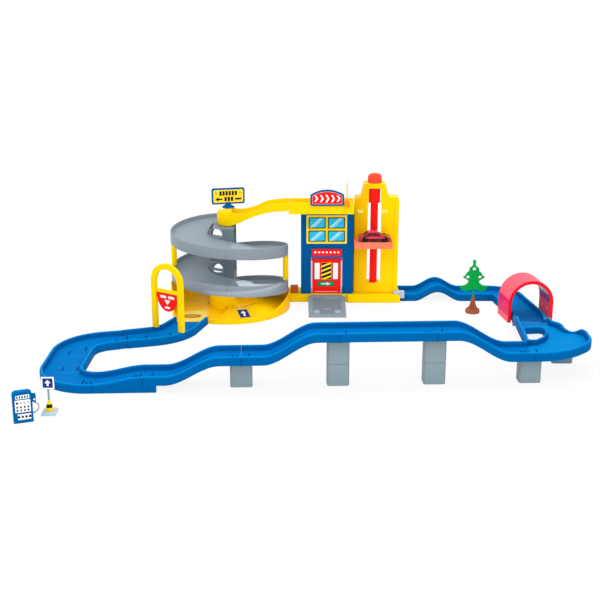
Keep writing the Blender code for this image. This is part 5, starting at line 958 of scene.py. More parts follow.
def make_ground_roads():
    """The gate road from the spout, and the left curve from there to the front roads."""
    start = (SPIRAL_X - (SPOUT_LEFT + SPOUT_RIGHT) / 2, SPOUT_END_Y - GAP)
    corners = shared(start, GATE_ROAD_SHARES)
    route = filleted(corners, GATE_ROAD_FILLET, 24, is_closed=False)
    leave = Vector(corners[2]) - Vector(corners[1])
    turn = atan2(leave.y, leave.x)
    flat = climb(0, 0)
    make_road("road_gate", route, flat, SPOUT_LEFT - SPOUT_RIGHT, GATE_ROAD_BULGE, ends=(-pi / 2, turn))
    join_point = Vector(corners[2]) + leave.normalized() * GAP
    far = shared(join_point, LEFT_CURVE_SHARES[:1])[0]
    near = (FRONT_ROAD_X + LEFT_CURVE_SHARES[1][0] * ROAD_WIDTH,
            FRONT_ROAD_Y - tan(FRONT_ROAD_TURN) * ROAD_WIDTH)
    bends = [tuple(join_point), far, near, (FRONT_ROAD_X, FRONT_ROAD_Y)]
    curve = filleted(bends, [0, *LEFT_CURVE_FILLETS, 0], 24, is_closed=False)
    make_road("road_left_curve", curve, flat, bulge=CURVE_BULGE, ends=(turn, FRONT_ROAD_TURN))


def make_back_roads():
    """The tunnel road, which slopes down from the turnout and turns left, and the hump road after it."""
    back_y, mouth_x, near_bend, far_bend = back_places()[1:]
    right = HUMP_ROAD_LEFT + HUMP_ROAD_LENGTH
    start = (mouth_x, back_y + GAP)
    corners = [start, near_bend, far_bend, (right + GAP, HUMP_ROAD_Y)]
    bends = filleted(corners, [0, *TUNNEL_ROAD_FILLETS, 0], 20, is_closed=False)
    direction = (Vector(near_bend) - Vector(start)).normalized()
    slope_steps = 30
    stride = direction * TUNNEL_ROAD_SLOPE / slope_steps
    slope = [tuple(Vector(start) + stride * k) for k in range(slope_steps + 1)]

    def foot(distance, total):
        return LEVEL_ONE * (1 - eased(distance / TUNNEL_ROAD_SLOPE))

    make_road("road_tunnel", slope + bends[1:], foot, ends=(pi / 2, pi))

    def hump(distance, total):
        offset = abs(distance - total * (1 - HUMP_CENTRE_SHARE)) / HUMP_HALF_LENGTH
        return HUMP_RISE * (1 + cos(pi * offset)) / 2 if offset < 1 else 0

    steps = 60
    route = [(right - HUMP_ROAD_LENGTH * k / steps, HUMP_ROAD_Y) for k in range(steps + 1)]
    make_road("road_hump", route, hump)


def plan_turn(angle):
    """The directions across and out of an upright face that is turned in plan."""
    return Vector((cos(angle), sin(angle), 0)), Vector((sin(angle), -cos(angle), 0))


def face_of(name, node, turn=0.0, depth=None):
    """A Flat on the upright front face of a CAD node, measured from the middle of its foot."""
    low, high = box_of(node)
    across, out = plan_turn(turn)
    middle = (low + high) / 2
    reach = (high.y - low.y) / 2 if depth is None else depth / 2
    return Flat(name, Vector((middle.x, middle.y, low.z)) + out * reach, across)


def make_window_print():
    """Four panes, each with a dark line, blue glass and two pale bands, and a pale edge round the panel."""
    low, high = box_of("window_panel")
    flat = Flat("window_print", (low.x, low.y + PANE_DEPTH, low.z))
    width = (high.x - low.x - 3 * WINDOW_FRAME) / 2
    height = (high.z - low.z - 3 * WINDOW_FRAME) / 2
    for column in range(2):
        for row in range(2):
            left = WINDOW_FRAME + column * (width + WINDOW_FRAME)
            foot = WINDOW_FRAME + row * (height + WINDOW_FRAME)
            flat.box("black", left + GAP, left + width - GAP, foot + GAP, foot + height - GAP, 0, PANE_LINE)
            bottom = foot + PANE_LINE
            top = foot + height - PANE_LINE
            flat.box("cyan", left + PANE_LINE, left + width - PANE_LINE, bottom, top, 1, PANE_LINE)
            for start, wide in PANE_BANDS:
                near = left + width * start
                far = near + width * wide
                lean = width * PANE_LEAN
                band = [(near, bottom), (far, bottom), (far + lean, top), (near + lean, top)]
                flat.add("pale_cyan", band, 2)
    flat.finish()
    edge = PANEL_EDGE
    wide = high.x - low.x
    tall = high.z - low.z
    border = Flat("window_border", low)
    for sides in ((0, edge, 0, tall), (wide - edge, wide, 0, tall), (edge, wide - edge, 0, edge),
                  (edge, wide - edge, tall - edge, tall)):
        border.box("pale_yellow", *sides)
    border.finish()


def make_awning_print():
    """A red band with round ends and white dots, and a dark strip behind the teeth."""
    flat = face_of("awning_print", "awning")
    low, high = box_of("awning")
    half = (high.x - low.x) / 2
    foot = AWNING_TOOTH + AWNING_EDGE
    top = high.z - low.z - GAP
    flat.box("dark_red", GAP - half, half - GAP, foot - GAP, top, 0, AWNING_ROUND)
    flat.box("red", AWNING_EDGE - half, half - AWNING_EDGE, foot + GAP, top - GAP * 2, 1, AWNING_ROUND)
    for x in placed(AWNING_DOTS, AWNING_DOT_STEP):
        flat.disc("white", x, (foot + top) / 2, AWNING_DOT_RADIUS, 2)
    flat.finish()
    strip = Flat("awning_backing", flat.origin - flat.out * AWNING_BACKING)
    strip.box("purple", GAP - half, half - GAP, GAP, AWNING_TOOTH + GAP, 1)
    strip.finish()


def held_between(corners, low, high):
    """The part of an outline that lies between two heights."""
    for limit, side in ((low, 1), (high, -1)):
        kept = []
        for here, after in zip(corners, corners[1:] + corners[:1]):
            is_in = side * (here[1] - limit) >= 0
            if is_in:
                kept.append(here)
            if is_in != (side * (after[1] - limit) >= 0):
                share = (limit - here[1]) / (after[1] - here[1])
                kept.append((here[0] + (after[0] - here[0]) * share, limit))
        corners = kept
    return corners


def make_door_print():
    """The printed door: pale edges, two white panes, a striped panel and a green one with an arrow."""
    awning_low, awning_high = box_of("awning")
    middle = (awning_low.x + awning_high.x) / 2
    place = (middle, -HOUSE_FRONT + DOOR_INSET, box_of("door_flap")[0].z)
    flat = Flat("door_print", place, body="door")
    for side in (-1, 1):
        for ink, near, far in DOOR_EDGES:
            ends = sorted((side * (DOOR_HALF - near), side * (DOOR_HALF - far)))
            flat.box(ink, *ends, 0.002, DOOR_PRINT_TOP)
    for line, ink, left, right, rim in DOOR_PANES:
        flat.framed(line, ink, left, right, DOOR_PANE_FOOT, DOOR_PANE_TOP, rim)
    line, ink, left, right, rim = DOOR_PANES[-1]
    left += rim
    right -= rim
    bottom = DOOR_PANE_FOOT + rim
    top = DOOR_PANE_TOP - rim
    for k in range(STRIPES):
        foot = bottom + STRIPE_STEP * (k - 0.9)
        corners = [(left, foot), (right, foot + STRIPE_RISE), (right, foot + STRIPE_RISE + STRIPE_BAND),
                   (left, foot + STRIPE_BAND)]
        flat.add("black", held_between(corners, bottom, top), 2)
    flat.framed(*DOOR_PLATE)
    flat.arrow(*DOOR_ARROW)
    flat.box(*DOOR_FOOT_LINE)
    flat.finish()


def make_roof_sign_print():
    """The arched red panel on the roof sign, with a pale line round it and five white chevrons."""
    low, high = box_of("roof_sign")
    flat = face_of("roof_sign_print", "roof_sign")
    half = (high.x - low.x) / 2
    radius = (half * half + ROOF_SIGN_RISE * ROOF_SIGN_RISE) / (2 * ROOF_SIGN_RISE)
    centre = high.z - low.z - radius

    def arched(margin):
        reach = asin((half - margin) / (radius - margin))
        top = arc(0, centre, radius - margin, pi / 2 - reach, pi / 2 + reach, 16)
        corners = [(margin - half, margin), (half - margin, margin)] + top
        return filleted(corners, [ROOF_SIGN_CORNER] * 2 + [0] * len(top), 4)

    flat.add("pale_pink", arched(ROOF_SIGN_LINE), 0)
    flat.add("red", arched(ROOF_SIGN_PANEL), 1)
    for k, place in enumerate(placed(5, CHEVRON_STEP)):
        x = place - CHEVRON_SHIFT
        neck = x + CHEVRON_BAND
        tall = CHEVRON_HALF + CHEVRON_GROWTH * (2 - abs(k - 2))
        low_end = CHEVRON_MIDDLE - tall
        high_end = CHEVRON_MIDDLE + tall
        flat.add("white", [(x, low_end), (neck, low_end), (x + CHEVRON_TIP, CHEVRON_MIDDLE),
                           (neck, high_end), (x, high_end), (x + CHEVRON_NOTCH, CHEVRON_MIDDLE)], 2)
    flat.finish()


def make_exit_sign_print():
    """The yellow panels of the swivelling sign, with plain blocks and an arrow, on both sides."""
    across, out = plan_turn(EXIT_SIGN_TURN)
    place = Vector(EXIT_SIGN_CENTRE) + out * EXIT_SIGN_THICKNESS / 2
    front = Flat("exit_sign_print", place, across, body="sign")
    half = EXIT_SIGN_WIDTH / 2
    for flat in (front, front.behind(EXIT_SIGN_THICKNESS)):
        for ink, margin, level, corner in EXIT_SIGN_PANELS:
            flat.box(ink, margin - half, half - margin, margin, EXIT_SIGN_HEIGHT - margin, level, corner)
        flat.row(*EXIT_SIGN_TOP_ROW)
        for x in (-EXIT_SIGN_DOT_X, EXIT_SIGN_DOT_X):
            flat.disc("amber", x, *EXIT_SIGN_DOT)
        flat.arrow(*EXIT_SIGN_ARROW)
        flat.row(*EXIT_SIGN_FOOT_ROW)
        flat.box(*EXIT_SIGN_DASH)
        flat.finish()


def make_gate_sign_print():
    """White bars and a triangle on both sides of the half-round sign in the gate."""
    front = face_of("gate_sign_print", "gate_sign", GATE_TURN, GATE_SIGN_THICKNESS)
    low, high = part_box("gate_sign")
    top = high[2] - low[2]
    for flat in (front, front.behind(GATE_SIGN_THICKNESS)):
        for left, right, low_drop, high_drop in GATE_BARS[:2]:
            flat.box("white", left, right, top - low_drop, top - high_drop, 0, 0.001)
        flat.add("white", [(x, top - drop) for x, drop in GATE_TRIANGLE])
        left, right, low_drop, high_drop = GATE_BARS[2]
        flat.box("white", left, right, top - low_drop, top - high_drop, 0, 0.001)
        flat.finish()


def make_parking_sign():
    """The plate with a navy square and an arrow, and the post with its striped cone."""
    front = face_of("parking_sign_print", "parking_sign_plate")
    low, high = box_of("parking_sign_plate")
    half = (high.x - low.x) / 2
    for flat in (front, front.behind(high.y - low.y)):
        for ink, margin, level in PARKING_PANELS:
            flat.box(ink, margin - half, half - margin, margin, 2 * half - margin, level, 0.001)
        wing = PARKING_ARROW
        flat.add("white", [(wing, half), (0, half + PARKING_ARROW_RISE), (-wing, half)], 2)
        flat.box("white", -PARKING_SHAFT, PARKING_SHAFT, half - wing, half, 2)
        flat.finish()
    low, high = box_of("parking_sign_post")
    radius = (high.x - low.x) / 2
    slope = (radius - SIGN_POST_RADIUS) / (SIGN_CONE_TOP - low.z)
    profile = [(low.z, radius, 0), (low.z + 0.0006, radius + 0.0001, 0)]
    profile += [(level, radius - slope * (level - low.z), 0) for level in SIGN_STRIPES]
    profile += [(SIGN_CONE_TOP, SIGN_POST_RADIUS, 0), (high.z, SIGN_POST_RADIUS, 0)]
    shell = bmesh.new()
    add_loft(shell, turned((low + high) / 2, profile, 32), [0, 0, 1, 0, 2])
    new_piece("parking_sign_cone", shell, ["yellow_plastic", "black_plastic", "block_grey_plastic"],
              stands_for=("parking_sign_post",))


def make_pump_print():
    """The panels of the toy pump: a top strip, a panel of round and square marks, and a foot strip."""
    across, out = plan_turn(PUMP_TURN)
    front = Flat("pump_print", Vector(PUMP_CENTRE) + out * PUMP_DEPTH / 2, across)
    for flat in (front, front.behind(PUMP_DEPTH)):
        flat.add("white", filleted(PUMP_STRIP, 0.0012))
        flat.boxes(PUMP_PANELS)
        flat.row(*PUMP_ROW)
        for k, x in enumerate(placed(*PUMP_COLUMNS)):
            flat.disc("grey" if k else "black", x, *PUMP_DISC)
            for foot in PUMP_SQUARES:
                flat.box("black", x - PUMP_SQUARE_HALF, x + PUMP_SQUARE_HALF, foot, foot + PUMP_SQUARE_TALL,
                         1, PUMP_SQUARE_ROUND)
            key = x + PUMP_KEY_SHIFT
            flat.box("black", key - PUMP_KEY_HALF, key + PUMP_KEY_HALF, *PUMP_KEYS)
        flat.finish()
    nozzle = Flat("nozzle_print", Vector(PUMP_CENTRE) + out * NOZZLE_WIDTH / 2, across)
    nozzle.disc(*NOZZLE_DISC)
    nozzle.finish()


def make_tray_sticker():
    """A navy label with a plain white arrow, stuck to the bank in the tray."""
    up = Vector((cos(STICKER_TURN), sin(STICKER_TURN), 0))
    across = Vector((up.y, -up.x, 0))
    centre = Vector((STICKER_CENTRE[0], STICKER_CENTRE[1], 0))
    slope = (BANK_TOP - TRAY_FLOOR) / (BANK_OUTER - BANK_INNER)
    inward = (Vector((SPIRAL_X, SPIRAL_Y, 0)) - centre).normalized()
    across = (across + UP * slope * across.dot(inward)).normalized()
    up = (up + UP * slope * up.dot(inward)).normalized()
    up = (up - across * up.dot(across)).normalized()
    centre.z = bank_level(hypot(centre.x - SPIRAL_X, centre.y - SPIRAL_Y)) + STICKER_LIFT
    flat = Flat("tray_sticker", centre, across, up)
    flat.box(*STICKER_LABEL)
    flat.add("white", STICKER_ARROW, 2)
    flat.box(*STICKER_SHAFT)
    flat.finish()


def make_spout_marks():
    """The pale patch and the dark oval in the tray's way out."""
    flat = Flat("spout_marks", (0, 0, TRAY_FLOOR), up=(0, 1, 0))
    flat.add("pale_amber", SPOUT_PATCH)
    for ink, wide, deep, level in SPOUT_RINGS:
        oval = [(SPOUT_OVAL[0] + wide * x, SPOUT_OVAL[1] + deep * y) for x, y in circle(0, 0, 1, 28)]
        flat.add(ink, oval, level)
    flat.finish()


def bank_level(radius):
    """The height of the tray's banked floor at a radius about the spiral."""
    share = (BANK_OUTER - radius) / (BANK_OUTER - BANK_INNER)
    return TRAY_FLOOR + (BANK_TOP - TRAY_FLOOR) * min(max(share, 0), 1)


def make_tray_bank():
    """The bank that rises from the tray's floor to the foot of the column, right of the way out, with thin
    amber sheets of painted shade near its inner edge.
    """
    rings = []
    steps = 40
    for k, angle in enumerate(spread(BANK_START, BANK_END, steps)):
        fade = eased(min(k, steps - k) / 3)
        ring = [around(BANK_COLUMN, angle, TRAY_FLOOR / 2), around(BANK_OUTER, angle, TRAY_FLOOR / 2),
                around(BANK_OUTER, angle, TRAY_FLOOR + PRINT)]
        for radius in (BANK_OUTER - 0.012, BANK_INNER + 0.012, BANK_INNER, BANK_COLUMN):
            level = TRAY_FLOOR + PRINT + (bank_level(radius) - TRAY_FLOOR) * fade
            ring.append(around(radius, angle, level))
        rings.append(ring)
    lofted("tray_bank", rings, "yellow_plastic", angle=25)
    # Painted shade: thin amber sheets on top of the bank near its inner edge
    shell = bmesh.new()
    shade_band = rectangle(BANK_INNER - PAINTED_SHADE_REACH[0], BANK_INNER - PAINTED_SHADE_REACH[1], *PAINTED_SHADE_LEVELS)
    for start, end in BANK_PAINTED_SHADES:
        add_loft(shell, [[around(reach, angle, bank_level(reach) + up) for reach, up in shade_band]
                         for angle in spread(start, end, 8)])
    new_piece("bank_painted_shade", shell, ["amber"])


def make_window_frames():
    """Raised arches round the windows in the column, and a bar across the foot of each front window."""
    for name, feet in WINDOW_FEET.items():
        shell = bmesh.new()
        for angle, foot in zip(WINDOW_ANGLES, feet):
            arches = []
            for rim in (0.0002, WINDOW_RIM):
                half = WINDOW_WIDTH / 2 + rim
                corner = WINDOW_CORNER + rim
                top = foot + WINDOW_HEIGHT + rim
                arch = [(half, foot + 0.001)] + arc(half - corner, top - corner, corner, 0, pi / 2, 6)
                arch += arc(corner - half, top - corner, corner, pi / 2, pi, 6) + [(-half, foot + 0.001)]
                arches.append(arch)
            near = COLUMN_RADIUS - GAP
            far = COLUMN_RADIUS + WINDOW_RIM / 2
            rings = []
            for inner, outer in zip(*arches):
                corners = ((inner, near), (inner, far), (outer, far), (outer, near))
                rings.append([around(radius, angle + asin(across / COLUMN_RADIUS), up)
                              for (across, up), radius in corners])
            add_loft(shell, rings)
        reach = asin(WINDOW_WIDTH / 2 / COLUMN_RADIUS)
        section = rectangle(COLUMN_RADIUS - 0.0025, COLUMN_RADIUS - 0.0005, *WINDOW_BARS[name])
        bar = []
        for k in range(9):
            angle = WINDOW_ANGLES[0] + reach * (k / 4 - 1)
            bar.append([around(radius, angle, feet[0] + up) for radius, up in section])
        add_loft(shell, bar)
        new_piece(f"{name}_window_frames", shell, ["grey_plastic"])


def make_bowl():
    """The round end of the chute: a bulging wall with a soft rim, and a lid that the sign stands behind."""
    rings = []
    steps = 36
    inner = BOWL_RADIUS - BOWL_WALL
    for k, angle in enumerate(spread(BOWL_START, BOWL_END, steps)):
        fade = eased(min(k, steps - k) / 6)
        ring = []
        for share in spread(0, 1, 9):
            bulge = (BOWL_BULGE * sin(pi * share) + 0.0004) * fade
            ring.append((BOWL_RADIUS + bulge, BOWL_FOOT + (BOWL_TOP - 0.0016 - BOWL_FOOT) * share))
        ring += [(BOWL_RADIUS - 0.0004, BOWL_TOP - 0.0005), (BOWL_RADIUS - 0.0015, BOWL_TOP),
                 (inner, BOWL_TOP), (inner, BOWL_FOOT)]
        rings.append([Vector((SPIRAL_X + reach * cos(angle), BOWL_Y + reach * sin(angle), up))
                      for reach, up in ring])
    shell = bmesh.new()
    add_loft(shell, rings)
    lid = arc(SPIRAL_X, BOWL_Y, BOWL_RADIUS - 0.0032, BOWL_START, BOWL_END, steps)
    lid += [(SPIRAL_X + x, BOWL_Y + y) for x, y in BOWL_CHORD]
    add_slab(shell, lid, BOWL_TOP - 0.0020, BOWL_TOP - 0.0003)
    new_piece("bowl_shell", shell, ["yellow_plastic"])


def make_exit_ramp_marks():
    """The dished middle of the exit ramp, its two raised treads and two pale marks."""
    low, high = box_of("exit_ramp")
    foot = Vector(((low.x + high.x) / 2, low.y, EXIT_RAMP_LOW))
    up = Vector((foot.x, -EXIT_RAMP_BACK, EXIT_RAMP_HIGH)) - foot
    flat = Flat("exit_ramp_marks", foot, up=up)
    dish = Flat("exit_ramp_dish", foot - flat.out * EXIT_RAMP_DISH, up=up)
    dish.box(*EXIT_RAMP_DISH_BOX)
    dish.finish()
    flat.boxes(EXIT_RAMP_MARKS)
    flat.finish()


def make_tower_marks():
    """Pale tabs beside the slot, a fine line down the tower's left, the deck's seams, and a strip in the gap
    between the building and the tower. The tabs' pale colour is a painted highlight and the strip is painted
    shade.
    """
    flat = Flat("tower_marks", (0, -TOWER_FRONT, 0))
    # The tabs' pale yellow is a painted highlight on small bumps
    for left, right in TOWER_TAB_HIGHLIGHTS:
        flat.add("pale_yellow", [(left, TAB_TOP), (left + TAB_LEAN, TAB_FOOT), (right - TAB_LEAN, TAB_FOOT),
                                 (right, TAB_TOP)])
    flat.box("amber", *TOWER_LINE)
    flat.finish()
    deck = Flat("deck_seams", (0, -DECK_FRONT, 0))
    for x in DECK_SEAMS:
        deck.box("amber", x - DECK_SEAM_HALF, x + DECK_SEAM_HALF, *DECK_SEAM_ENDS)
    deck.finish()
    # Painted shade: an amber strip that fills the gap between the building and the tower
    front = box_of("building_front")[1]
    seam = Flat("tower_gap_painted_shade", (0, TOWER_FRONT / 4, 0))
    seam.box("amber", front.x + GAP, box_of("lift_tower")[0].x - GAP, TOWER_GAP_SHADE_FOOT, front.z, 2)
    seam.finish()


def make_car_glass():
    """Dark side windows and screens on the toy car, and its sills."""
    low, high = box_of("car_body")
    length = high.x - low.x
    base = low.z + (high.z - low.z) * CABIN_FOOT_SHARE
    rear_base, nose_base, rear_roof, nose_roof = [low.x + share * length
                                                  for share in CABIN_BASE_SHARES + CABIN_ROOF_SHARES]
    for name, side, y in (("near", -1, low.y), ("far", 1, high.y)):
        foot = Vector((0, y - side * CABIN_BASE_INSET, base))
        top = Vector((0, y - side * CABIN_ROOF_INSET, high.z))
        flat = Flat(f"car_glass_{name}", foot, (-side, 0, 0), top - foot, "car")
        marks = []
        for share in PANE_SHARES:
            marks.append((rear_base + (rear_roof - rear_base) * share + PANE_SIDE,
                          nose_base + (nose_roof - nose_base) * share - PANE_SIDE,
                          (top - foot).length * share))
        (rear_low, nose_low, foot_up), (rear_high, nose_high, head_up) = marks
        rear_post = (rear_roof + nose_roof) / 2 - PANE_POST
        nose_post = (rear_roof + nose_roof) / 2 + PANE_POST
        for pane in ([(rear_low, foot_up), (rear_post, foot_up), (rear_post, head_up), (rear_high, head_up)],
                     [(nose_post, foot_up), (nose_low, foot_up), (nose_high, head_up), (nose_post, head_up)]):
            flat.add("car_glass", [(-side * x, up) for x, up in pane])
        flat.finish()
        sill = Flat(f"car_sill_{name}", (0, y, low.z), (-side, 0, 0), body="car")
        left, right = sorted(-side * (low.x + share * length) for share in SILL_SHARES)
        sill.box("black", left, right, *SILL_LEVELS)
        sill.box("car_pink", left - STRIPE_REACH, right + STRIPE_REACH, *STRIPE_LEVELS)
        sill.finish()
    half = (high.y - low.y) / 2
    middle = (low.y + high.y) / 2
    screens = (("front", nose_base, nose_roof, 1), ("rear", rear_base, rear_roof, -1))
    for name, x_base, x_roof, side in screens:
        foot = Vector((x_base, middle, base))
        top = Vector((x_roof, middle, high.z))
        flat = Flat(f"car_screen_{name}", foot, (0, side, 0), top - foot, "car")
        tall = (top - foot).length
        low_half = half - CABIN_BASE_INSET - SCREEN_SIDES[0]
        high_half = half - CABIN_ROOF_INSET - SCREEN_SIDES[1]
        sill, head = [tall * share for share in SCREEN_SHARES]
        flat.add("car_glass", [(-low_half, sill), (low_half, sill), (high_half, head), (-high_half, head)])
        flat.finish()


def make_car_roof_highlight():
    """A painted highlight on the toy car's roof: a lighter pink patch."""
    low, high = box_of("car_body")
    rear, nose = [low.x + share * (high.x - low.x) for share in CABIN_ROOF_SHARES]
    half = (high.y - low.y) / 2 - CABIN_ROOF_INSET - 0.001
    roof = Flat("car_roof_painted_highlight", (0, (low.y + high.y) / 2, high.z), up=(0, 1, 0), body="car")
    roof.box("car_pink", rear + 0.001, nose - 0.001, -half, half, 0, 0.002)
    roof.finish()


def make_tunnel_trim():
    """The bright rim at each mouth of the tunnel, its dark lining and the band on its left flank."""
    low, high = box_of("tunnel")
    centre = (low + high) / 2
    near_bend, far_bend = [Vector(bend) for bend in back_places()[3:]]
    run = far_bend - near_bend
    across, out = plan_turn(-atan2(run.x, run.y))
    outer = TUNNEL_OUTER
    inner = TUNNEL_OUTER - TUNNEL_WALL
    half = TUNNEL_DEPTH / 2

    def point(side, up, along):
        return Vector((centre.x, centre.y, 0)) + across * side + out * along + UP * up

    def arch(radius, right_foot=0.001):
        return [(radius, right_foot)] + arc(0, TUNNEL_LEG, radius, 0, pi, 32) + [(-radius, 0.001)]

    def hoops(outside, inside, start, end):
        return [[point(*a, start), point(*a, end), point(*b, end), point(*b, start)]
                for a, b in zip(outside, inside)]

    rim = bmesh.new()
    for side in (-1, 1):
        start = side * (half + 0.0001)
        end = side * (half + 0.0012)
        add_loft(rim, hoops(arch(outer), arch(inner + 0.0006), start, end))
    new_piece("tunnel_rim", rim, ["bright_red"])
    leg_top = TUNNEL_LEG - 0.001
    rings = hoops(arch(inner - 0.0001, leg_top), arch(inner - 0.0006, leg_top), 0.001 - half, half - 0.001)
    lofted("tunnel_lining", rings, "dark_red_plastic", angle=50)
    outline = [(-1, BAND_LOW)] + [(cos(pi - k * BAND_STEP), TUNNEL_LEG + sin(k * BAND_STEP) * outer)
                                  for k in range(3)]
    section = rectangle(outer - 0.0004, outer + 0.0003, 0.001 - half, half - 0.001)
    band = bmesh.new()
    add_loft(band, [[point(side * reach, up, along) for reach, along in section] for side, up in outline])
    new_piece("tunnel_band", band, ["magenta"])


def make_tree_trunk():
    """The trunk with grooved roots that flare into a round foot."""
    low, high = box_of("tree_trunk")
    centre = (low + high) / 2
    radius = (high.x - low.x) / 2
    profile = [(level, radius - inset, 0) for level, inset in ROOT_FOOT] + list(ROOT_STEM)
    rings = turned(centre, profile, 56, lambda turn, groove: 1 + groove * cos(ROOTS * turn))
    lofted("tree_roots", rings, "brown_plastic", stands_for=("tree_trunk",), angle=40)
    stem = turned(centre, (*TREE_STEM, (high.z, TREE_STEM[0][1], 0)), 24)
    lofted("tree_stem", stem, "green_plastic")


def make_knob():
    """The ribbed knob on top of the spindle, with a rounded shoulder."""
    low, high = box_of("lift_knob")
    reach = (high.x - low.x) / 2
    profile = [(low.z + (high.z - low.z) * rise, reach * share, rib) for rise, share, rib in KNOB_PROFILE]
    rings = turned((low + high) / 2, profile, 96, lambda turn, rib: 1 - rib * (1 - cos(KNOB_RIBS * turn)) / 2)
    lofted("knob_shell", rings, "red_plastic", "spindle", ("lift_knob",), 40)


def make_tree_crown():
    """The flat crown: three tiers of drooping boughs under a narrow tip, with three round holes."""
    low, high = box_of("tree_crown")
    middle_x = (low.x + high.x) / 2
    middle_y = (low.y + high.y) / 2
    wide = high.x - low.x
    foot = high.z - TREE_HEIGHT
    right = [(x * wide, y * TREE_HEIGHT) for x, y in TREE_OUTLINE]
    left = [(-x, y) for x, y in right[::-1] if x]
    outline = filleted(left + right, TREE_CORNER, 3)
    holes = [circle(x * wide, y * TREE_HEIGHT, radius, 20) for x, y, radius in TREE_HOLES]
    shell = cut_plate([outline] + holes, (high.y - low.y) / 2, TREE_SOFT)
    for vertex in shell.verts:
        x, up, depth = vertex.co
        vertex.co = (middle_x + x, middle_y - depth, foot + up)
    new_piece("tree_boughs", shell, ["green_plastic"], stands_for=("tree_crown",), angle=40)


def make_joint_marks():
    """The dark seams and latch slots at the joints of the front roads."""
    shell = bmesh.new()
    heights = (0, RISER_HEIGHT, LEVEL_ONE, LEVEL_TWO, LEVEL_TWO, LEVEL_ONE)
    across, out = plan_turn(FRONT_ROAD_TURN)
    for joint, level in zip(FRONT_JOINTS, heights):
        near = Vector((*front_point(joint, -ROAD_WIDTH / 2), level))
        corners = [near + across * x + UP * up for x, up in rectangle(*JOINT_SEAM)]
        add_loft(shell, [[corner + out * reach for corner in corners] for reach in (INK_LIFT, SEAM_DEPTH)])
        floor = Vector((*front_point(joint), level + ROAD_FLOOR))
        for left, right, back, front, lean in JOINT_SLOTS:
            corners = [(left, back), (right, back), (right + lean, front), (left + lean, front)]
            corners = [floor + across * x - out * y for x, y in corners]
            add_loft(shell, [[corner + UP * up for corner in corners] for up in (INK_LIFT, SLOT_DEPTH)])
    new_piece("joint_marks", shell, ["deep_blue"])


def make_climb_grooves():
    """The long shallow grooves in the sloping floors of the climbs and the descent."""
    shell = bmesh.new()
    slopes = ((1, RISER_HEIGHT, LEVEL_ONE), (2, LEVEL_ONE, LEVEL_TWO), (4, LEVEL_TWO, LEVEL_ONE))
    for number, low, high in slopes:
        foot = climb(low, high)
        for side in GROOVE_SIDES:
            rings = []
            for share in spread(GROOVE_START, GROOVE_END, 12):
                distance = share * STRAIGHT_LENGTH
                level = foot(distance, STRAIGHT_LENGTH) + ROAD_FLOOR
                left, right = [front_point(FRONT_JOINTS[number] + distance, side + edge)
                               for edge in (-GROOVE_HALF, GROOVE_HALF)]
                rings.append([Vector(corner) for corner in ((*left, level), (*right, level),
                                                            (*right, level + PRINT), (*left, level + PRINT))])
            add_loft(shell, rings)
    new_piece("climb_grooves", shell, ["deep_blue"])


def offset_path(points, distance, is_closed=False):
    """The points moved to the left of their path by a distance."""
    moved = []
    count = len(points)
    for k, point in enumerate(points):
        before = Vector(points[k - 1]) if k or is_closed else Vector(point)
        after = Vector(points[(k + 1) % count]) if k < count - 1 or is_closed else Vector(point)
        heading = (after - before).normalized()
        moved.append((point[0] - heading.y * distance, point[1] + heading.x * distance))
    return moved


def add_rim(shell, path, foot, tops, wall, is_closed=False):
    """A wall with a rounded top along a plan path, which runs along its outer side."""
    marks = [(0, 0, False)]
    marks += [(wall / 2 - wall / 2 * cos(turn), sin(turn) * ROAD_ROUND - ROAD_ROUND, True)
              for turn in spread(0, pi, 8)]
    marks += [(wall, 0, False)]
    lines = [offset_path(path, inward, is_closed) for inward, up, is_top in marks]
    rings = []
    for k in range(len(path)):
        rings.append([Vector((*line[k], tops[k] + up if is_top else foot))
                      for line, (inward, up, is_top) in zip(lines, marks)])
    add_loft(shell, rings, is_ring=is_closed)


def make_turnout():
    """The turnout: a floor, a rounded rim that dips between two lobes, and an island with its own rim."""
    origin, back_y, mouth_x = back_places()[:3]
    half = ROAD_WIDTH / 2
    last = FRONT_JOINTS[-1] + GAP
    corners = [front_point(last, -half)] + shared(origin, TURNOUT_SIDE_SHARES) + [(mouth_x + half, back_y)]
    outer = filleted(corners, [0, *TURNOUT_FILLETS, 0], 14, is_closed=False)
    fine = []
    for here, after in zip(outer, outer[1:]):
        gap = Vector(after) - Vector(here)
        pieces = max(1, round(gap.length / TURNOUT_STEP))
        fine += [tuple(Vector(here) + gap * k / pieces) for k in range(pieces)]
    fine.append(outer[-1])
    first = Vector(corners[3])
    second = Vector(corners[4])
    notch = second + (first - second) * NOTCH_SHARE
    top = LEVEL_ONE + ROAD_HEIGHT
    tops = []
    for point in fine:
        offset = (Vector(point) - notch).length / NOTCH_REACH
        dip = (1 + cos(pi * offset)) / 2 if offset < 1 else 0
        tops.append(top - NOTCH_DIP * dip)
    inner = [(mouth_x - half, back_y), front_point(last, half)]
    island = filleted(shared(origin, ISLAND_SHARES), ISLAND_CORNER, 8)
    floor = LEVEL_ONE + ROAD_FLOOR
    plan = offset_path(fine, 0.001) + offset_path(inner, 0.001)
    shell = cut_plate([plan, offset_path(island, ROAD_SKIRT / 2, True)[::-1]], ROAD_SHEET / 2)
    for vertex in shell.verts:
        vertex.co.z += floor - ROAD_SHEET / 2
    # The floor takes the lighter blue, painted light on the turnout's floor
    for face in shell.faces:
        face.material_index = 1
    for route, levels in ((fine, tops), (inner, [top, top])):
        add_rim(shell, route, LEVEL_ONE, levels, ROAD_WALL)
        # Painted highlight strips along the crowns of the turnout's rims
        near, far = [offset_path(route, ROAD_WALL / 2 + edge) for edge in (-CROWN_HIGHLIGHT_HALF, CROWN_HIGHLIGHT_HALF)]
        add_crown_highlight_strips(near, far, levels)
    add_rim(shell, island, floor - ROAD_SHEET, [top - GAP] * len(island), ROAD_SKIRT, is_closed=True)
    new_piece("turnout_shell", shell, ["road_blue_plastic", "turnout_painted_light_blue"], stands_for=("road_turnout",),
              angle=50)


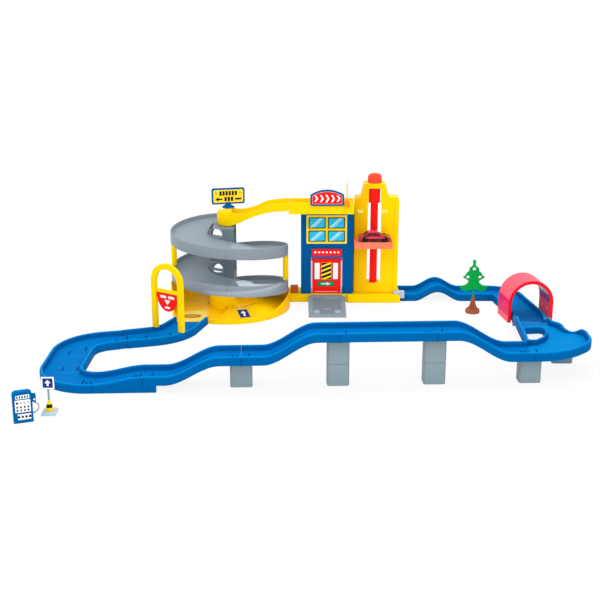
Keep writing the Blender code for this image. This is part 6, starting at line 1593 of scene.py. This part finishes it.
def make_curve_marks():
    """Pale lines of painted highlight where the floor catches light, and small slots in the floor of the left
    curve.
    """
    lines = [rectangle(start_x, end_x, start_y - half, end_y + half)
             for start_x, start_y, end_x, end_y, half in CURVE_HIGHLIGHT_LINES]
    slots = [rectangle(x - CURVE_SLOT_WIDE, x + CURVE_SLOT_WIDE, y - CURVE_SLOT_DEEP, y + CURVE_SLOT_DEEP)
             for x, y in CURVE_SLOTS]
    for name, outlines, ink in (("curve_painted_highlights", lines, "painted_highlight_blue"), ("curve_slots", slots, "deep_blue")):
        shell = bmesh.new()
        for outline in outlines:
            add_slab(shell, outline, ROAD_FLOOR + INK_LIFT, ROAD_FLOOR + PRINT)
        new_piece(name, shell, [ink])


def add_lamp(name, kind, place, size, power):
    """Adds a square lamp aimed at the toy, a disk that faces down, or a point of light that isn't seen."""
    data = bpy.data.lights.new(name, "POINT" if kind == "POINT" else "AREA")
    data.energy = power
    lamp = bpy.data.objects.new(name, data)
    lamp.location = place
    if kind == "POINT":
        data.shadow_soft_size = size
        lamp.visible_camera = False
        lamp.visible_glossy = False
    else:
        data.shape = kind
        data.size = size
    if kind == "SQUARE":
        lamp.rotation_euler = (Vector(LAMP_AIM) - Vector(place)).to_track_quat("-Z", "Y").to_euler()
    bpy.context.scene.collection.objects.link(lamp)


def larger(tree, first, second):
    return add_node(tree, "Math", {0: first, 1: second}, operation="MAXIMUM").outputs["Value"]


def make_world():
    """A soft white light on the toy, and plain white for what the camera and mirrored or passing rays see."""
    world = bpy.data.worlds.new("studio")
    world.use_nodes = True
    bpy.context.scene.world = world
    tree = world.node_tree
    tree.nodes.clear()
    path = add_node(tree, "LightPath").outputs
    seen = larger(tree, path["Is Camera Ray"], path["Is Glossy Ray"])
    clear = larger(tree, seen, path["Is Transmission Ray"])
    soft, white = [add_node(tree, "Background", {"Color": (1, 1, 1, 1), "Strength": light})
                   for light in (WORLD_LIGHT, 1.0)]
    blend = add_node(tree, "MixShader", {"Fac": clear, 1: soft.outputs["Background"],
                                         2: white.outputs["Background"]})
    add_node(tree, "OutputWorld", {"Surface": blend.outputs["Shader"]})


def make_floor():
    """The paper that the toy stands on: it takes shadows, and turns to plain white further out."""
    shell = bmesh.new()
    corners = rectangle(-FLOOR_REACH, FLOOR_REACH, -FLOOR_REACH, FLOOR_REACH)
    shell.faces.new([shell.verts.new((x, y, -FLOOR_DROP)) for x, y in corners])
    mesh = bpy.data.meshes.new("floor")
    shell.to_mesh(mesh)
    shell.free()
    paper = bpy.data.materials.new("paper")
    paper.use_nodes = True
    tree = paper.node_tree
    shader = tree.nodes["Principled BSDF"]
    fill(tree, shader, {"Base Color": (PAPER_SHADE, PAPER_SHADE, PAPER_SHADE, 1), "Roughness": 0.9})
    path = add_node(tree, "LightPath").outputs
    seen = larger(tree, path["Is Camera Ray"], path["Is Glossy Ray"])
    place = add_node(tree, "TexCoord").outputs["Object"]
    distance = add_node(tree, "VectorMath", {0: place}, operation="LENGTH").outputs["Value"]
    white = add_node(tree, "MapRange", {"From Min": PAPER_NEAR, "From Max": PAPER_FAR, "To Min": PAPER_GLOW,
                                        "Value": distance}).outputs["Result"]
    share = add_node(tree, "Math", {0: seen, 1: white}, operation="MULTIPLY").outputs["Value"]
    glow = add_node(tree, "Emission").outputs["Emission"]
    blend = add_node(tree, "MixShader", {"Fac": share, 1: shader.outputs["BSDF"], 2: glow})
    fill(tree, tree.nodes["Material Output"], {"Surface": blend.outputs["Shader"]})
    mesh.materials.append(paper)
    floor = bpy.data.objects.new("floor", mesh)
    bpy.context.scene.collection.objects.link(floor)


def make_camera_and_light():
    scene = bpy.context.scene
    scene.view_settings.view_transform = "Standard"
    data = bpy.data.cameras.new("camera")
    data.lens = CAMERA_LENS
    data.sensor_width = CAMERA_SENSOR
    data.clip_start, data.clip_end = CAMERA_CLIP
    camera = bpy.data.objects.new("camera", data)
    camera.location = CAMERA_PLACE
    camera.rotation_euler = (CAMERA_PITCH, 0, 0)
    scene.collection.objects.link(camera)
    scene.camera = camera
    make_world()
    for lamp in LAMPS:
        add_lamp(*lamp)
    make_floor()


SOFT_EDGES = {
    0.0022: "gate_arch",
    0.0015: "garage_base",
    0.0014: "tunnel",
    0.0012: "lift_tower pump_body",
    0.0010: "base_stop pump_nozzle",
    0.0008: "roof_sign road_connector tree_crown parking_sign_base",
    0.0007: ("lift_platform pillar_1 pillar_2_lower pillar_2_upper pillar_3_lower pillar_3_upper pillar_4 "
             "pillar_5"),
    0.0006: "building_front building_back awning exit_ramp roof_deck exit_sign barrier_bracket tree_trunk",
    0.0005: "column_lower column_upper column_foot gate_sign parking_sign_plate lift_knob car_body",
    0.0004: "door_flap barrier_arm",
    0.0003: "window_panel post_left post_right",
}

paint_nodes()
for width, names in SOFT_EDGES.items():
    for node in names.split():
        soften(node, width)
for make in (make_ramps, make_tray, make_front_roads, make_ground_roads, make_back_roads, make_window_print,
             make_awning_print, make_door_print, make_roof_sign_print, make_exit_sign_print,
             make_gate_sign_print, make_parking_sign, make_pump_print, make_tray_bank, make_tray_sticker,
             make_spout_marks, make_window_frames, make_bowl, make_exit_ramp_marks, make_tower_marks,
             make_car_glass, make_car_roof_highlight, make_tunnel_trim, make_tree_trunk, make_joint_marks,
             make_climb_grooves, make_turnout, make_curve_marks, make_tree_crown, make_knob, make_crown_highlights,
             make_camera_and_light):
    make()
